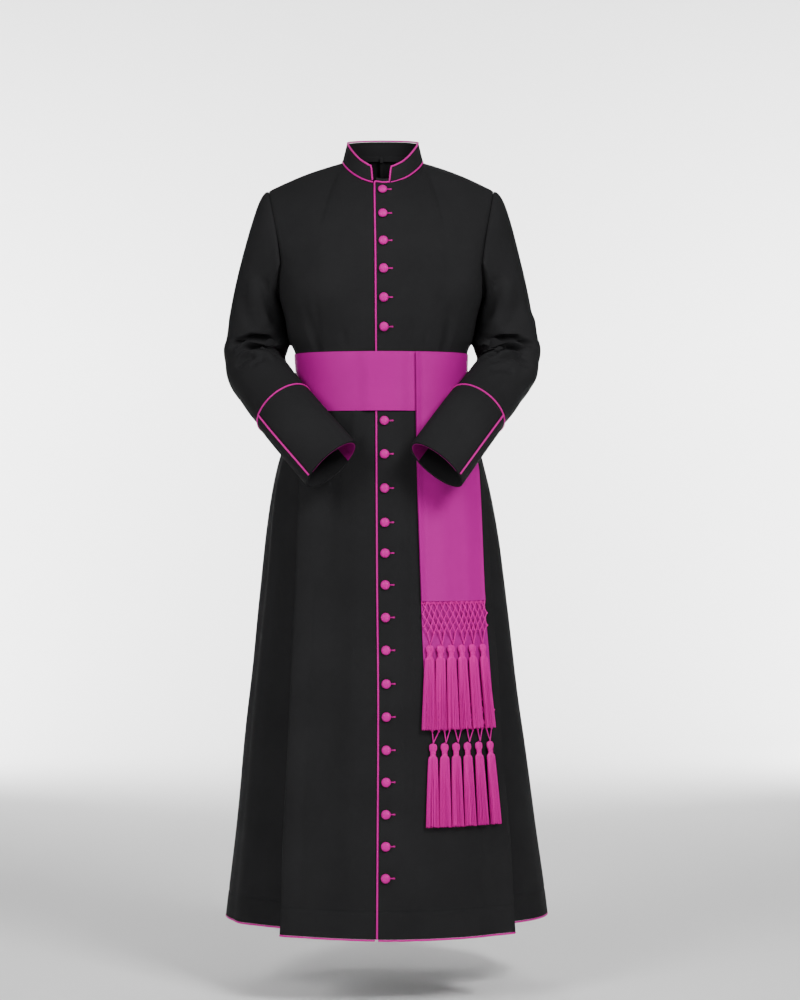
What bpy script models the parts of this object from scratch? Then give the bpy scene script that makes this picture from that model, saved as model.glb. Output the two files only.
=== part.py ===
"""Cassock with its fascia: a hollow worn garment of thin cloth walls.

Metres, +Z up. The wearer faces -Y, and +X is the wearer's left. The origin is the middle of the
neck base, level with the points where the shoulder seams meet the neckline.
"""
import math
from collections import namedtuple

import bmesh
import bpy
from mathutils import Matrix, Vector

# ---- driving dimensions -------------------------------------------------------------------
CLOTH = 0.0020            # wall of the cassock cloth
SEAM = 0.0003             # gap between two pieces at a seam
SET_IN = 0.0008           # gap round the armhole, where the sleeve is set in
SILK = 0.0016             # wall of the falls and nets
BAND = 0.0018             # wall of the sash band
CUFF = 0.0018             # wall of a turned-back cuff
FACING = 0.0010           # wall of the facing inside a cuff
COLLAR = 0.0025           # wall of the stand collar

NECK_WIDE = 0.077         # half width of the neck base
NECK_FRONT = -0.078       # front of the neck base, in Y
NECK_BACK = 0.070
NECK_DROP = 0.0500        # the neckline's dip at the front
NECK_CURVE = 1.4          # over 1, the dip is narrower than an arc's
NECK_RISE = 0.012         # its rise at the back
SHOULDER_TIP = Vector((0.216, 0.0, -0.054))
UPPER_CENTRE_X = -0.003   # the shoulders and arms stand this far to the wearer's right
SHOULDER_CROWN = 0.0045   # how far the shoulder seam arches above a straight line

SASH_TOP = -0.3685
SASH_BOTTOM = -0.4795
HEM = -1.447

LAP_OVER = 0.013          # the left front reaches this far past the centre line
LAP_UNDER = 0.018         # and the right front this far under it
UNDERLAP_SINK = 0.0010    # how far the hidden edge of the right front falls away inwards
LAP_GAP = 0.0009          # gap between the lap and the front beneath it
LAP_RISE = CLOTH + LAP_GAP

EDGE_CORD = 0.0018        # radius of the front and hem piping
TRIM_CORD = 0.0017        # radius of the collar, neckline and cuff piping

# ---- the body: one row for each level, cloth outside ----------------------------------------
Level = namedtuple("Level", "z half_width centre_x front_y side_y back_y square")
LEVELS = (
    Level(-0.200, 0.2050, -0.002, -0.134, 0.000, 0.122, 3.00),
    Level(-0.262, 0.1950, -0.003, -0.138, 0.000, 0.118, 2.80),
    Level(-0.300, 0.1842, -0.003, -0.136, 0.000, 0.112, 2.60),
    Level(-0.340, 0.1760, -0.004, -0.130, 0.000, 0.105, 2.40),
    Level(SASH_TOP, 0.1650, -0.0030, -0.126, 0.000, 0.100, 2.25),
    Level(-0.420, 0.1628, -0.0022, -0.124, 0.000, 0.099, 2.20),
    Level(SASH_BOTTOM, 0.1655, -0.0025, -0.127, 0.000, 0.104, 2.20),
    Level(-0.520, 0.1830, -0.003, -0.134, 0.000, 0.118, 2.15),
    Level(-0.570, 0.2000, -0.003, -0.141, 0.000, 0.134, 2.10),
    Level(-0.647, 0.2165, -0.001, -0.151, 0.000, 0.150, 2.05),
    Level(-0.839, 0.2420, 0.002, -0.178, 0.005, 0.185, 2.00),
    Level(-1.031, 0.2650, 0.004, -0.205, 0.010, 0.222, 2.00),
    Level(-1.223, 0.2875, 0.006, -0.232, 0.015, 0.258, 2.00),
    Level(HEM, 0.3160, 0.009, -0.262, 0.020, 0.300, 2.00),
)

# Where the front edge of the side fold, the side seam in its valley and the fold's far end stand
# round the body, in degrees from the centre front, and how deep the fold dips.
SideFold = namedtuple("SideFold", "z ridge seam tail dip")
SIDE_FOLDS = {
    -1: (
        SideFold(-0.200, 63.0, 90.0, 115.0, 0.000),
        SideFold(-0.365, 69.0, 88.0, 110.0, 0.000),
        SideFold(SASH_BOTTOM, 64.0, 76.0, 104.0, 0.000),
        SideFold(-0.600, 45.5, 52.5, 97.0, 0.022),
        SideFold(-0.840, 41.4, 47.4, 95.0, 0.044),
        SideFold(HEM, 38.0, 43.2, 95.0, 0.080),
    ),
    1: (
        SideFold(-0.200, 63.0, 90.0, 115.0, 0.000),
        SideFold(-0.365, 71.0, 90.0, 112.0, 0.000),
        SideFold(SASH_BOTTOM, 74.0, 87.0, 110.0, 0.000),
        SideFold(-0.600, 64.4, 72.0, 104.0, 0.024),
        SideFold(-0.840, 57.0, 63.5, 101.0, 0.052),
        SideFold(HEM, 47.8, 53.7, 100.0, 0.105),
    ),
}
# Where the centre front line runs, from side to side.
CentreFront = namedtuple("CentreFront", "z x")
CENTRE_FRONT = (
    CentreFront(-0.200, 0.0023),
    CentreFront(-0.320, 0.0031),
    CentreFront(-0.500, 0.0038),
    CentreFront(-0.800, 0.0057),
    CentreFront(-1.040, 0.0080),
    CentreFront(-1.340, 0.0068),
    CentreFront(HEM, 0.0063),
)
RIDGE_LIFT = 0.07         # share of the dip by which the fold's front edge stands proud
RIDGE_SPREAD = 9.0        # degrees over which it rises

# Soft flutes and tucks: which side, where round the body, how wide, from which height to which
# they grow, and how far they stand out (or dip, when negative) at the foot.
Flute = namedtuple("Flute", "side turn spread head foot out")
FLUTES = (
    Flute(-1, 72.0, 9.0, -0.500, -0.620, 0.007),
    Flute(1, 128.0, 13.0, -0.500, HEM, 0.022),
    Flute(-1, 133.0, 12.0, -0.500, HEM, 0.025),
    Flute(1, 158.0, 11.0, -0.560, HEM, 0.017),
    Flute(-1, 161.0, 10.0, -0.540, HEM, 0.018),
    Flute(1, 143.0, 9.0, -0.600, HEM, -0.014),
    Flute(-1, 148.0, 9.0, -0.580, HEM, -0.015),
)
# Tucks that the sash pulls in: deepest close to its edge, flat under it, and dying away at the
# height given as far.
Tuck = namedtuple("Tuck", "side turn spread near far out")
TUCKS = (
    Tuck(-1, 43.0, 6.0, -0.335, -0.255, -0.0035),
    Tuck(1, 43.0, 6.0, -0.335, -0.265, -0.0035),
    Tuck(-1, 14.0, 5.0, -0.500, -0.560, 0.0030),
    Tuck(-1, 29.0, 5.0, -0.500, -0.580, 0.0025),
    Tuck(1, 120.0, 8.0, -0.335, -0.250, -0.0050),
    Tuck(-1, 124.0, 8.0, -0.335, -0.260, -0.0045),
    Tuck(1, 150.0, 7.0, -0.335, -0.270, -0.0040),
    Tuck(-1, 152.0, 7.0, -0.335, -0.255, -0.0040),
)

# Columns of cloth from the centre front round to the centre back, on each half.
NECK_COLUMNS = 4
SHOULDER_COLUMNS = 5
RIDGE = NECK_COLUMNS + SHOULDER_COLUMNS      # the armhole's front edge, and the fold's below it
SIDE_SEAM = RIDGE + 3
TAIL = SIDE_SEAM + 4                         # the armhole's back edge
CENTRE_BACK = TAIL + SHOULDER_COLUMNS + NECK_COLUMNS
LAP = -1                                     # the lap's own column, past the centre front

ARMHOLE_ROWS = 7
ARMHOLE_BASE = -0.200     # where the armhole's front and back edges end
UNDERARM = -0.262         # and its lowest point, at the side seam
LOWER_ROWS = (-0.300, -0.335, SASH_TOP, -0.420, SASH_BOTTOM, -0.500, -0.525, -0.560, -0.610,
              -0.700, -0.839, -0.990, -1.140, -1.290, HEM)
LAST_ROW = ARMHOLE_ROWS + len(LOWER_ROWS)
SASH_ROWS = tuple(ARMHOLE_ROWS + 1 + LOWER_ROWS.index(z) for z in (SASH_TOP, -0.420, SASH_BOTTOM))

# ---- sleeves ---------------------------------------------------------------------------------
# One row for each station down the left arm; x at the end differs a little between the arms.
ArmStation = namedtuple("ArmStation", "name x y z half_long half_short")
ARM = (
    ArmStation("biceps", 0.2395, 0.008, -0.300, 0.0530, 0.0535),
    ArmStation("above elbow", 0.2400, 0.010, -0.345, 0.0585, 0.0575),
    ArmStation("elbow", 0.2390, -0.010, -0.396, 0.0590, 0.0560),
    ArmStation("forearm", 0.2175, -0.055, -0.430, 0.0585, 0.0510),
    ArmStation("cuff top", 0.1805, -0.121, -0.477, 0.0575, 0.0445),
    ArmStation("sleeve end", 0.0925, -0.213, -0.582, 0.0585, 0.0320),
)
SLEEVE_END_X = {-1: 0.0895, 1: 0.1030}
CAP_ROWS = 5
ARM_STEPS = (2, 4, 2, 2, 4)  # rows between one station and the next
SLEEVE_ROWS = CAP_ROWS + sum(ARM_STEPS)
CUFF_ROW = SLEEVE_ROWS - ARM_STEPS[-1]
LONG_AXIS = -30.0         # where the sleeve's wide way points, round from the outside of the arm
ROPE_LIFT = 0.004         # how far the roped head rises over the shoulder
CUFF_SEAM = 0             # the cuff's seam runs midway from this place round it to the next
FACING_FIRST = 2          # and where its facing starts, and how many places it spans
FACING_COLUMNS = 10

# Folds on the sleeve: the row and the angle round it where each is deepest, how far it spreads
# in rows and degrees, and its height. Angle 0 is the outside of the arm and 90 its front.
ArmFold = namedtuple("ArmFold", "row angle rows spread out")
ARM_FOLDS = (
    ArmFold(7.0, 120.0, 1.2, 60.0, -0.008),
    ArmFold(9.0, 140.0, 1.0, 55.0, -0.011),
    ArmFold(8.0, 125.0, 0.8, 55.0, 0.004),
    ArmFold(11.0, 135.0, 1.0, 50.0, -0.007),
    ArmFold(10.0, 250.0, 1.0, 50.0, -0.006),
)

# ---- falls, nets and tassels -----------------------------------------------------------------
FallLevel = namedtuple("FallLevel", "z left_x right_x")
FALL = (
    FallLevel(SASH_TOP, 0.0610, 0.1530),
    FallLevel(SASH_BOTTOM, 0.0620, 0.1550),
    FallLevel(-0.595, 0.0640, 0.1780),
    FallLevel(-0.835, 0.0716, 0.1889),
    FallLevel(-0.915, 0.0745, 0.1950),
    FallLevel(-1.015, 0.0790, 0.2020),
    FallLevel(-1.100, 0.0835, 0.2100),
)
BAND_LAYER = 0.0006       # gap between the cassock and the sash band
UNDER_LAYER = 0.0011      # gap between the cassock and the rear fall and its net
OVER_LAYER = 0.0034       # the front fall's inner face, clear of the band and the rear fall
FRONT_FALL_END = -0.835
REAR_FALL_END = -1.015
FALL_COLUMNS = 6
FLARE_ROWS = (-0.500, -0.525, -0.560, -0.610, -0.700)
FRONT_FALL_ROWS = (SASH_TOP, -0.420, SASH_BOTTOM, *FLARE_ROWS, -0.770, FRONT_FALL_END)
REAR_FALL_ROWS = (SASH_BOTTOM - 0.001, *FLARE_ROWS, -0.839, -0.925, REAR_FALL_END)
BAND_OVER_LAP = 0.0042    # how far the band stands out over the lap and its piping
NET_COLUMNS = 6
NET_ROWS = 3
NET_DROP = 0.080          # from the fall's edge down to the tassel heads
NET_CELL = Vector((0.0197, 0.0296))  # one repeat of the net, across and down
NET_CORD = 0.0016         # half the width of a net's cord pair

# One row for each set of tassels: first head, pitch of the heads, first tip, pitch of the tips,
# heights of head and tip, and the gap to what lies beneath.
TasselRow = namedtuple("TasselRow", "name head_x head_pitch tip_x tip_pitch top tip layer")
TASSEL_ROWS = (
    TasselRow("front", 0.0863, 0.0192, 0.0825, 0.0225, -0.9160, -1.0715, 0.0029),
    TasselRow("rear", 0.0925, 0.0208, 0.0905, 0.0231, -1.0960, -1.2480, 0.0005),
)
TASSELS = 6
STRANDS = 12              # strands of one tassel
STRAND_GAP = 0.0004
# Outline of a tassel's head, as height below its top and half width.
HEAD_OUTLINE = ((0.0015, 0.0046), (0.0070, 0.0073), (0.0125, 0.0048), (0.0190, 0.0052),
                (0.0230, 0.0080))
TASSEL_FLAT = 0.62        # depth of a tassel as a share of its width
TASSEL_SPREAD = 1.32      # how much wider the strands are at their tips

# ---- buttons and collar -----------------------------------------------------------------------
BUTTON_RADIUS = 0.00875
BUTTON_HEIGHT = 0.0078
BUTTON_LEVELS = (         # heights of the buttons; two more are left out behind the sash
    -0.0638, -0.1107, -0.1627, -0.2145, -0.2683, -0.3221,
    -0.4995, -0.5617, -0.6255, -0.6894, -0.7463, -0.8050, -0.8651, -0.9252,
    -0.9867, -1.0470, -1.1072, -1.1653, -1.2235, -1.2810, -1.3382,
)
BUTTON_RISE = LAP_RISE + SEAM

COLLAR_RIGHT_END = -0.0214    # X of the collar's two front ends, at its foot
COLLAR_LEFT_END = 0.0152
COLLAR_SLANT = 0.0040         # how much further apart each end is at its top
COLLAR_FRONT_HEIGHT = 0.0275
COLLAR_SIDE_HEIGHT = 0.032
COLLAR_LEAN = 0.008           # how far its top leans in at the sides and back
COLLAR_ROWS = 3
NECK_CORD_GAP = 0.0005


# ---- materials --------------------------------------------------------------------------------
def cloth_material(name, colour, roughness):
    material = bpy.data.materials.new(name)
    material.use_nodes = True
    shader = material.node_tree.nodes["Principled BSDF"]
    shader.inputs["Base Color"].default_value = (*colour, 1.0)
    shader.inputs["Roughness"].default_value = roughness
    shader.inputs["Metallic"].default_value = 0.0
    return material


BLACK = (0.017, 0.017, 0.018)
MAGENTA = (0.58, 0.012, 0.32)


# ---- smooth tables ----------------------------------------------------------------------------
def blend(start, end, share):
    return start + (end - start) * share


def ease(share):
    share = min(1.0, max(0.0, share))
    return share * share * (3.0 - 2.0 * share)


def bump(distance, spread):
    """A soft bell, 1 at its middle and 0 past its spread."""
    share = min(1.0, abs(distance) / spread)
    return (1.0 - share * share) ** 2


def read_level(rows, z, column):
    """A column of a table read at height z, by a smooth curve with no overshoot."""
    heights = [row.z for row in rows]
    values = [getattr(row, column) for row in rows]
    if z >= heights[0]:
        return values[0]
    if z <= heights[-1]:
        return values[-1]
    steps = [heights[i + 1] - heights[i] for i in range(len(rows) - 1)]
    slopes = [(values[i + 1] - values[i]) / steps[i] for i in range(len(steps))]
    tangents = [slopes[0]]
    for before, after in zip(slopes, slopes[1:]):
        tangents.append(0.0 if before * after <= 0.0 else 2.0 * before * after / (before + after))
    tangents.append(slopes[-1])
    index = next(i for i in range(len(steps)) if z >= heights[i + 1])
    share = (z - heights[index]) / steps[index]
    square, cube = share * share, share ** 3
    start = (2 * cube - 3 * square + 1) * values[index]
    start += (cube - 2 * square + share) * steps[index] * tangents[index]
    end = (3 * square - 2 * cube) * values[index + 1]
    end += (cube - square) * steps[index] * tangents[index + 1]
    return start + end


def hermite(start, start_pull, end, end_pull, share):
    square, cube = share * share, share ** 3
    point = (2 * cube - 3 * square + 1) * start + (cube - 2 * square + share) * start_pull
    return point + (3 * square - 2 * cube) * end + (cube - square) * end_pull


# ---- the body's form --------------------------------------------------------------------------
def power(value, exponent):
    return math.copysign(abs(value) ** exponent, value)


def ring_point(side, turn, z):
    """The plain section at height z, without folds. turn is in degrees from the centre front."""
    exponent = 2.0 / read_level(LEVELS, z, "square")
    across = power(math.sin(math.radians(turn)), exponent)
    along = power(math.cos(math.radians(turn)), exponent)
    side_y = read_level(LEVELS, z, "side_y")
    reach = read_level(LEVELS, z, "front_y" if along > 0 else "back_y") - side_y
    x = read_level(LEVELS, z, "centre_x") + side * read_level(LEVELS, z, "half_width") * across
    return Vector((x, side_y + reach * abs(along), z))


def ring_outward(side, turn, z):
    step = 0.5
    along = ring_point(side, turn + step, z) - ring_point(side, turn - step, z)
    return Vector((side * along.y, -side * along.x, 0.0)).normalized()


def fold_height(side, turn, z):
    """How far the folds move the cloth in or out at one place below the sash and above it."""
    ridge = read_level(SIDE_FOLDS[side], z, "ridge")
    seam = read_level(SIDE_FOLDS[side], z, "seam")
    tail = read_level(SIDE_FOLDS[side], z, "tail")
    dip = read_level(SIDE_FOLDS[side], z, "dip")
    height = 0.0
    if turn <= ridge:
        height += RIDGE_LIFT * dip * bump(turn - ridge, RIDGE_SPREAD)
    elif turn <= seam:
        height += blend(RIDGE_LIFT * dip, -dip, ease((turn - ridge) / (seam - ridge)))
    elif turn < tail:
        height -= dip * (1.0 - (turn - seam) / (tail - seam)) ** 1.35
    for flute in FLUTES:
        if flute.side == side:
            grown = ease((flute.head - z) / (flute.head - flute.foot))
            height += flute.out * grown * bump(turn - flute.turn, flute.spread)
    for tuck in TUCKS:
        is_near = z > SASH_TOP if tuck.near > SASH_TOP else z < SASH_BOTTOM
        if tuck.side == side and is_near:
            faded = 1.0 - ease((z - tuck.near) / (tuck.far - tuck.near))
            height += tuck.out * faded * bump(turn - tuck.turn, tuck.spread)
    return height


def body_place(side, turn, z):
    point = ring_point(side, turn, z)
    return point + ring_outward(side, turn, z) * fold_height(side, turn, z)


def centre_turn(side, z):
    """The angle round the body of the centre front line, which is a little off the middle."""
    x = read_level(CENTRE_FRONT, z, "x") - read_level(LEVELS, z, "centre_x")
    share = side * x / read_level(LEVELS, z, "half_width")
    return math.degrees(math.asin(power(share, read_level(LEVELS, z, "square") / 2.0)))


def column_turn(side, column, z):
    """Where a column of cloth stands round the body at height z."""
    ridge = read_level(SIDE_FOLDS[side], z, "ridge")
    seam = read_level(SIDE_FOLDS[side], z, "seam")
    tail = read_level(SIDE_FOLDS[side], z, "tail")
    stops = ((0, centre_turn(side, z)), (RIDGE, ridge), (SIDE_SEAM, seam), (TAIL, tail),
             (CENTRE_BACK, 180.0))
    for (first, start), (last, end) in zip(stops, stops[1:]):
        if column <= last:
            return blend(start, end, (column - first) / (last - first))
    return 180.0


def neck_point(side, angle):
    """The neckline, by the angle from the centre front."""
    sine, cosine = math.sin(math.radians(angle)), math.cos(math.radians(angle))
    if cosine >= 0.0:
        drop = NECK_DROP * max(0.0, cosine) ** NECK_CURVE
        return Vector((side * NECK_WIDE * sine, NECK_FRONT * cosine, -drop))
    return Vector((side * NECK_WIDE * sine, -NECK_BACK * cosine, -NECK_RISE * cosine))


def shoulder_point(side, share):
    """The shoulder seam, from the neck (0) to the tip (1)."""
    tip = Vector((side * SHOULDER_TIP.x + UPPER_CENTRE_X, SHOULDER_TIP.y, SHOULDER_TIP.z))
    point = Vector((side * NECK_WIDE, 0.0, 0.0)).lerp(tip, share)
    point.z += SHOULDER_CROWN * math.sin(math.pi * share)
    return point


def top_edge(side, column):
    """Where a column ends at the neckline or the shoulder seam, and the pull of its arc there."""
    is_front = column <= RIDGE
    steps = column if is_front else CENTRE_BACK - column
    facing = 1.0 if is_front else -1.0
    if steps <= NECK_COLUMNS:
        share = steps / NECK_COLUMNS
        angle = 90.0 * share if is_front else 180.0 - 90.0 * share
        pull = Vector((0.0, facing * blend(0.08, 0.14, share), blend(0.12, 0.0, share)))
        return neck_point(side, angle), pull
    share = (steps - NECK_COLUMNS) / SHOULDER_COLUMNS
    return shoulder_point(side, share), Vector((0.0, facing * blend(0.14, 0.085, share), 0.0))


def base_height(column):
    """Height of the row that runs along the foot of the armhole."""
    span = SIDE_SEAM - RIDGE if column < SIDE_SEAM else TAIL - SIDE_SEAM
    away = min(1.0, abs(column - SIDE_SEAM) / span)
    return blend(UNDERARM, ARMHOLE_BASE, away ** 1.7)


def cloth_place(side, column, row):
    """Any crossing of a column and a row of the body's outer face."""
    if row > ARMHOLE_ROWS:
        z = LOWER_ROWS[row - ARMHOLE_ROWS - 1]
        return body_place(side, column_turn(side, column, z), z)
    z = base_height(column)
    start = body_place(side, column_turn(side, column, z), z)
    if row == ARMHOLE_ROWS:
        return start
    below = body_place(side, column_turn(side, column, z - 0.03), z - 0.03)
    end, pull = top_edge(side, column)
    rise = (start - below).normalized() * (end.z - start.z) * 1.05
    return hermite(start, rise, end, pull, 1.0 - row / ARMHOLE_ROWS)


def in_armhole(column, row):
    return RIDGE <= column < TAIL and row < ARMHOLE_ROWS


def outward_of(points, faces, flip):
    """The outward direction at every point of a net of four-cornered faces."""
    outward = {key: Vector() for key in points}
    for corners in faces:
        across = points[corners[2]] - points[corners[0]]
        down = points[corners[3]] - points[corners[1]]
        face = down.cross(across) * flip
        for corner in corners:
            outward[corner] += face
    return outward


def body_form(side):
    """Points of one half of the body and the outward direction at each."""
    points = {}
    for column in range(CENTRE_BACK + 1):
        for row in range(LAST_ROW + 1):
            if row < ARMHOLE_ROWS and RIDGE < column < TAIL:
                continue
            points[column, row] = cloth_place(side, column, row)
    faces = []
    for column in range(CENTRE_BACK):
        for row in range(LAST_ROW):
            if not in_armhole(column, row):
                faces.append(((column, row), (column + 1, row),
                              (column + 1, row + 1), (column, row + 1)))
    outward = outward_of(points, faces, side)
    for step in range(SHOULDER_COLUMNS + 1):
        front, back = (NECK_COLUMNS + step, 0), (CENTRE_BACK - NECK_COLUMNS - step, 0)
        shared = outward[front] + outward[back]
        outward[front], outward[back] = shared.copy(), shared.copy()
    for (column, row), direction in outward.items():
        if column in (0, CENTRE_BACK):
            direction.x = 0.0
        direction.normalize()
    return points, outward


def add_lap(forms, side, reach, sink):
    """The column of cloth past the centre front, on the line of the other half's first one."""
    points, outward = forms[side]
    for row in range(LAST_ROW + 1):
        centre, beyond = points[0, row], forms[-side][0][1, row]
        place = centre.lerp(beyond, reach / abs(beyond.x - centre.x))
        points[LAP, row] = place - outward[0, row] * sink
        outward[LAP, row] = outward[0, row].copy()


# ---- sheets of cloth --------------------------------------------------------------------------
def finish_mesh(name, mesh, material, smooth=True):
    bmesh.ops.recalc_face_normals(mesh, faces=mesh.faces[:])
    if mesh.calc_volume(signed=True) < 0.0:
        bmesh.ops.reverse_faces(mesh, faces=mesh.faces[:])
    data = bpy.data.meshes.new(name)
    mesh.to_mesh(data)
    mesh.free()
    if smooth:
        data.shade_smooth()
        data.set_sharp_from_angle(angle=math.radians(40.0))
    data.materials.append(material)
    piece = bpy.data.objects.new(name, data)
    bpy.data.collections["cassock"].objects.link(piece)
    return piece


def cloth_wall(name, columns, rows, place, material, closed=False, left_out=None, turned=None):
    """A flat grid given a second face, then bent: place(column, row, is_inner) puts each point.

    Each cell is halved along the same diagonal on every layer, so that layers never cross;
    turned says which columns take the other diagonal.
    """
    mesh = bmesh.new()
    bmesh.ops.create_grid(mesh, x_segments=columns, y_segments=rows, size=0.5)
    column = mesh.verts.layers.int.new("column")
    row = mesh.verts.layers.int.new("row")
    inner = mesh.verts.layers.int.new("inner")
    for vert in mesh.verts:
        vert[column] = round((vert.co.x + 0.5) * columns)
        vert[row] = round((0.5 - vert.co.y) * rows)
    if left_out:
        gone = [face for face in mesh.faces
                if left_out(min(v[column] for v in face.verts), min(v[row] for v in face.verts))]
        bmesh.ops.delete(mesh, geom=gone, context="FACES")
    other = [face for face in mesh.faces if turned and turned(min(v[column] for v in face.verts))]
    first = [face for face in mesh.faces if face not in set(other)]
    bmesh.ops.triangulate(mesh, faces=first, quad_method="FIXED")
    if other:
        bmesh.ops.triangulate(mesh, faces=other, quad_method="ALTERNATE")
    if closed:
        for vert in mesh.verts:
            vert[column] %= columns
            vert.co = place(vert[column], vert[row], False)
        bmesh.ops.remove_doubles(mesh, verts=mesh.verts[:], dist=0.00001)
    made = bmesh.ops.extrude_face_region(mesh, geom=mesh.faces[:])
    for vert in made["geom"]:
        if isinstance(vert, bmesh.types.BMVert):
            vert[inner] = 1
    for vert in mesh.verts:
        vert.co = place(vert[column], vert[row], bool(vert[inner]))
    return finish_mesh(name, mesh, material)


def cord(name, path, radius, material, closed=False):
    """A round cord along a run of straight steps."""
    curve = bpy.data.curves.new(name, "CURVE")
    curve.dimensions = "3D"
    curve.bevel_depth = radius
    curve.bevel_resolution = 0
    curve.use_fill_caps = not closed
    spline = curve.splines.new("POLY")
    spline.points.add(len(path) - 1)
    for knot, point in zip(spline.points, path):
        knot.co = (*point, 1.0)
    spline.use_cyclic_u = closed
    curve.materials.append(material)
    piece = bpy.data.objects.new(name, curve)
    bpy.data.collections["cassock"].objects.link(piece)
    return piece


def toward(start, end, distance):
    return start + (end - start).normalized() * distance


# ---- fronts and backs -------------------------------------------------------------------------
def lap_rise(side, column):
    return LAP_RISE if side > 0 and column <= 1 else 0.0


def body_panel(name, forms, side, first, last, material):
    """One panel of the body, from its first column of cloth to its last."""
    points, outward = forms[side]
    is_front = first < SIDE_SEAM

    def place(step, row, is_inner):
        column = first + step
        point = points[column, row]
        out = lap_rise(side, column) - (CLOTH if is_inner else 0.0)
        moved = point + outward[column, row] * out
        if column in (SIDE_SEAM, CENTRE_BACK):
            beside = column - 1 if column == last else column + 1
            moved += toward(point, points[beside, row], SEAM / 2) - point
        steps = column if is_front else CENTRE_BACK - column
        if row == 0 and steps >= NECK_COLUMNS:
            moved += toward(point, points[column, 1], SEAM / 2) - point
        return moved

    def left_out(step, row):
        return in_armhole(first + step, row)

    return cloth_wall(name, last - first, LAST_ROW, place, material, left_out=left_out)


# ---- sleeves and cuffs ------------------------------------------------------------------------
def armhole_loop():
    """Keys of the armhole's edge: from the shoulder tip down its front and up its back."""
    front = [(RIDGE, row) for row in range(ARMHOLE_ROWS + 1)]
    foot = [(column, ARMHOLE_ROWS) for column in range(RIDGE + 1, TAIL)]
    back = [(TAIL, row) for row in range(ARMHOLE_ROWS, 0, -1)]
    return front + foot + back


def loop_angles(loop):
    """The angle round the arm for each point of the armhole: 0 outside, 90 front, 180 under."""
    underarm = ARMHOLE_ROWS + SIDE_SEAM - RIDGE
    lengths = [(loop[(i + 1) % len(loop)] - loop[i]).length for i in range(len(loop))]
    front, back = sum(lengths[:underarm]), sum(lengths[underarm:])
    angles = [180.0 * sum(lengths[:i]) / front for i in range(underarm)]
    angles += [180.0 + 180.0 * sum(lengths[underarm:i]) / back for i in range(underarm, len(loop))]
    return angles


def arm_line(side):
    """Centre, frame and half sizes of the sleeve at each row from the biceps to its end."""
    stops = [Vector((side * stop.x + UPPER_CENTRE_X, stop.y, stop.z)) for stop in ARM]
    stops[-1].x = side * SLEEVE_END_X[side] + UPPER_CENTRE_X
    steps = [(after - before).length for before, after in zip(stops, stops[1:])]
    pulls = [Vector((0.0, 0.0, -1.0))]
    for i in range(1, len(stops) - 1):
        before = (stops[i] - stops[i - 1]) / steps[i - 1]
        after = (stops[i + 1] - stops[i]) / steps[i]
        pulls.append((before * steps[i] + after * steps[i - 1]) / (steps[i] + steps[i - 1]))
    pulls.append((stops[-1] - stops[-2]) / steps[-1])
    rows = []
    for i, count in enumerate(ARM_STEPS):
        for step in range(count + (i == len(ARM_STEPS) - 1)):
            share = step / count
            centre = hermite(stops[i], pulls[i] * steps[i], stops[i + 1], pulls[i + 1] * steps[i],
                             share)
            sizes = [blend(getattr(ARM[i], size), getattr(ARM[i + 1], size), share)
                     for size in ("half_long", "half_short")]
            rows.append((centre, *sizes))
    frames = []
    outer = Vector((side, 0.0, 0.0))
    for index, (centre, half_long, half_short) in enumerate(rows):
        ahead = rows[min(index + 1, len(rows) - 1)][0]
        behind = rows[max(index - 1, 0)][0]
        along = (ahead - behind).normalized() if index else Vector((0.0, 0.0, -1.0))
        outer = (outer - along * outer.dot(along)).normalized()
        front = along.cross(outer) * side
        frames.append((centre, outer, front, half_long, half_short))
    return frames


def arm_fold(row, angle):
    height = 0.0
    for fold in ARM_FOLDS:
        away = abs((angle - fold.angle + 180.0) % 360.0 - 180.0)
        height += fold.out * bump(row - fold.row, fold.rows) * bump(away, fold.spread)
    return height


def sleeve_ring(frame, row, angle):
    centre, outer, front, half_long, half_short = frame
    turned = math.radians(angle - LONG_AXIS)
    axis = math.radians(LONG_AXIS)
    long_way = outer * math.cos(axis) + front * math.sin(axis)
    short_way = front * math.cos(axis) - outer * math.sin(axis)
    spoke = long_way * half_long * math.cos(turned) + short_way * half_short * math.sin(turned)
    return centre + spoke + spoke.normalized() * arm_fold(row, angle)


def sleeve_form(forms, side):
    """Points of a sleeve, by place round the armhole and by row, and its outward directions."""
    points, _ = forms[side]
    loop = [points[key] + Vector((side * SET_IN, 0.0, 0.0)) for key in armhole_loop()]
    angles = loop_angles(loop)
    frames = arm_line(side)
    form = {}
    for index, (start, angle) in enumerate(zip(loop, angles)):
        over = max(0.0, math.cos(math.radians(angle)))
        under = max(0.0, -math.cos(math.radians(angle)))
        beside = abs(math.sin(math.radians(angle)))
        start_pull = Vector((side * (0.075 * over + 0.05 * beside),
                             -0.02 * math.sin(math.radians(angle)),
                             -0.03 * over - 0.05 * beside - 0.02 * under))
        end_pull = Vector((side * 0.045 * over, 0.0,
                           -0.25 * over - 0.13 * beside - 0.035 * under))
        end = sleeve_ring(frames[0], CAP_ROWS, angle)
        for row in range(CAP_ROWS):
            point = hermite(start, start_pull, end, end_pull, row / CAP_ROWS)
            if row == 1:
                point.z += ROPE_LIFT * over
            form[index, row] = point
        for step, frame in enumerate(frames):
            form[index, CAP_ROWS + step] = sleeve_ring(frame, CAP_ROWS + step, angle)
    count = len(loop)
    faces = [((i, row), ((i + 1) % count, row), ((i + 1) % count, row + 1), (i, row + 1))
             for i in range(count) for row in range(SLEEVE_ROWS)]
    outward = outward_of(form, faces, -side)
    for direction in outward.values():
        direction.normalize()
    return form, outward, count


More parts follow.
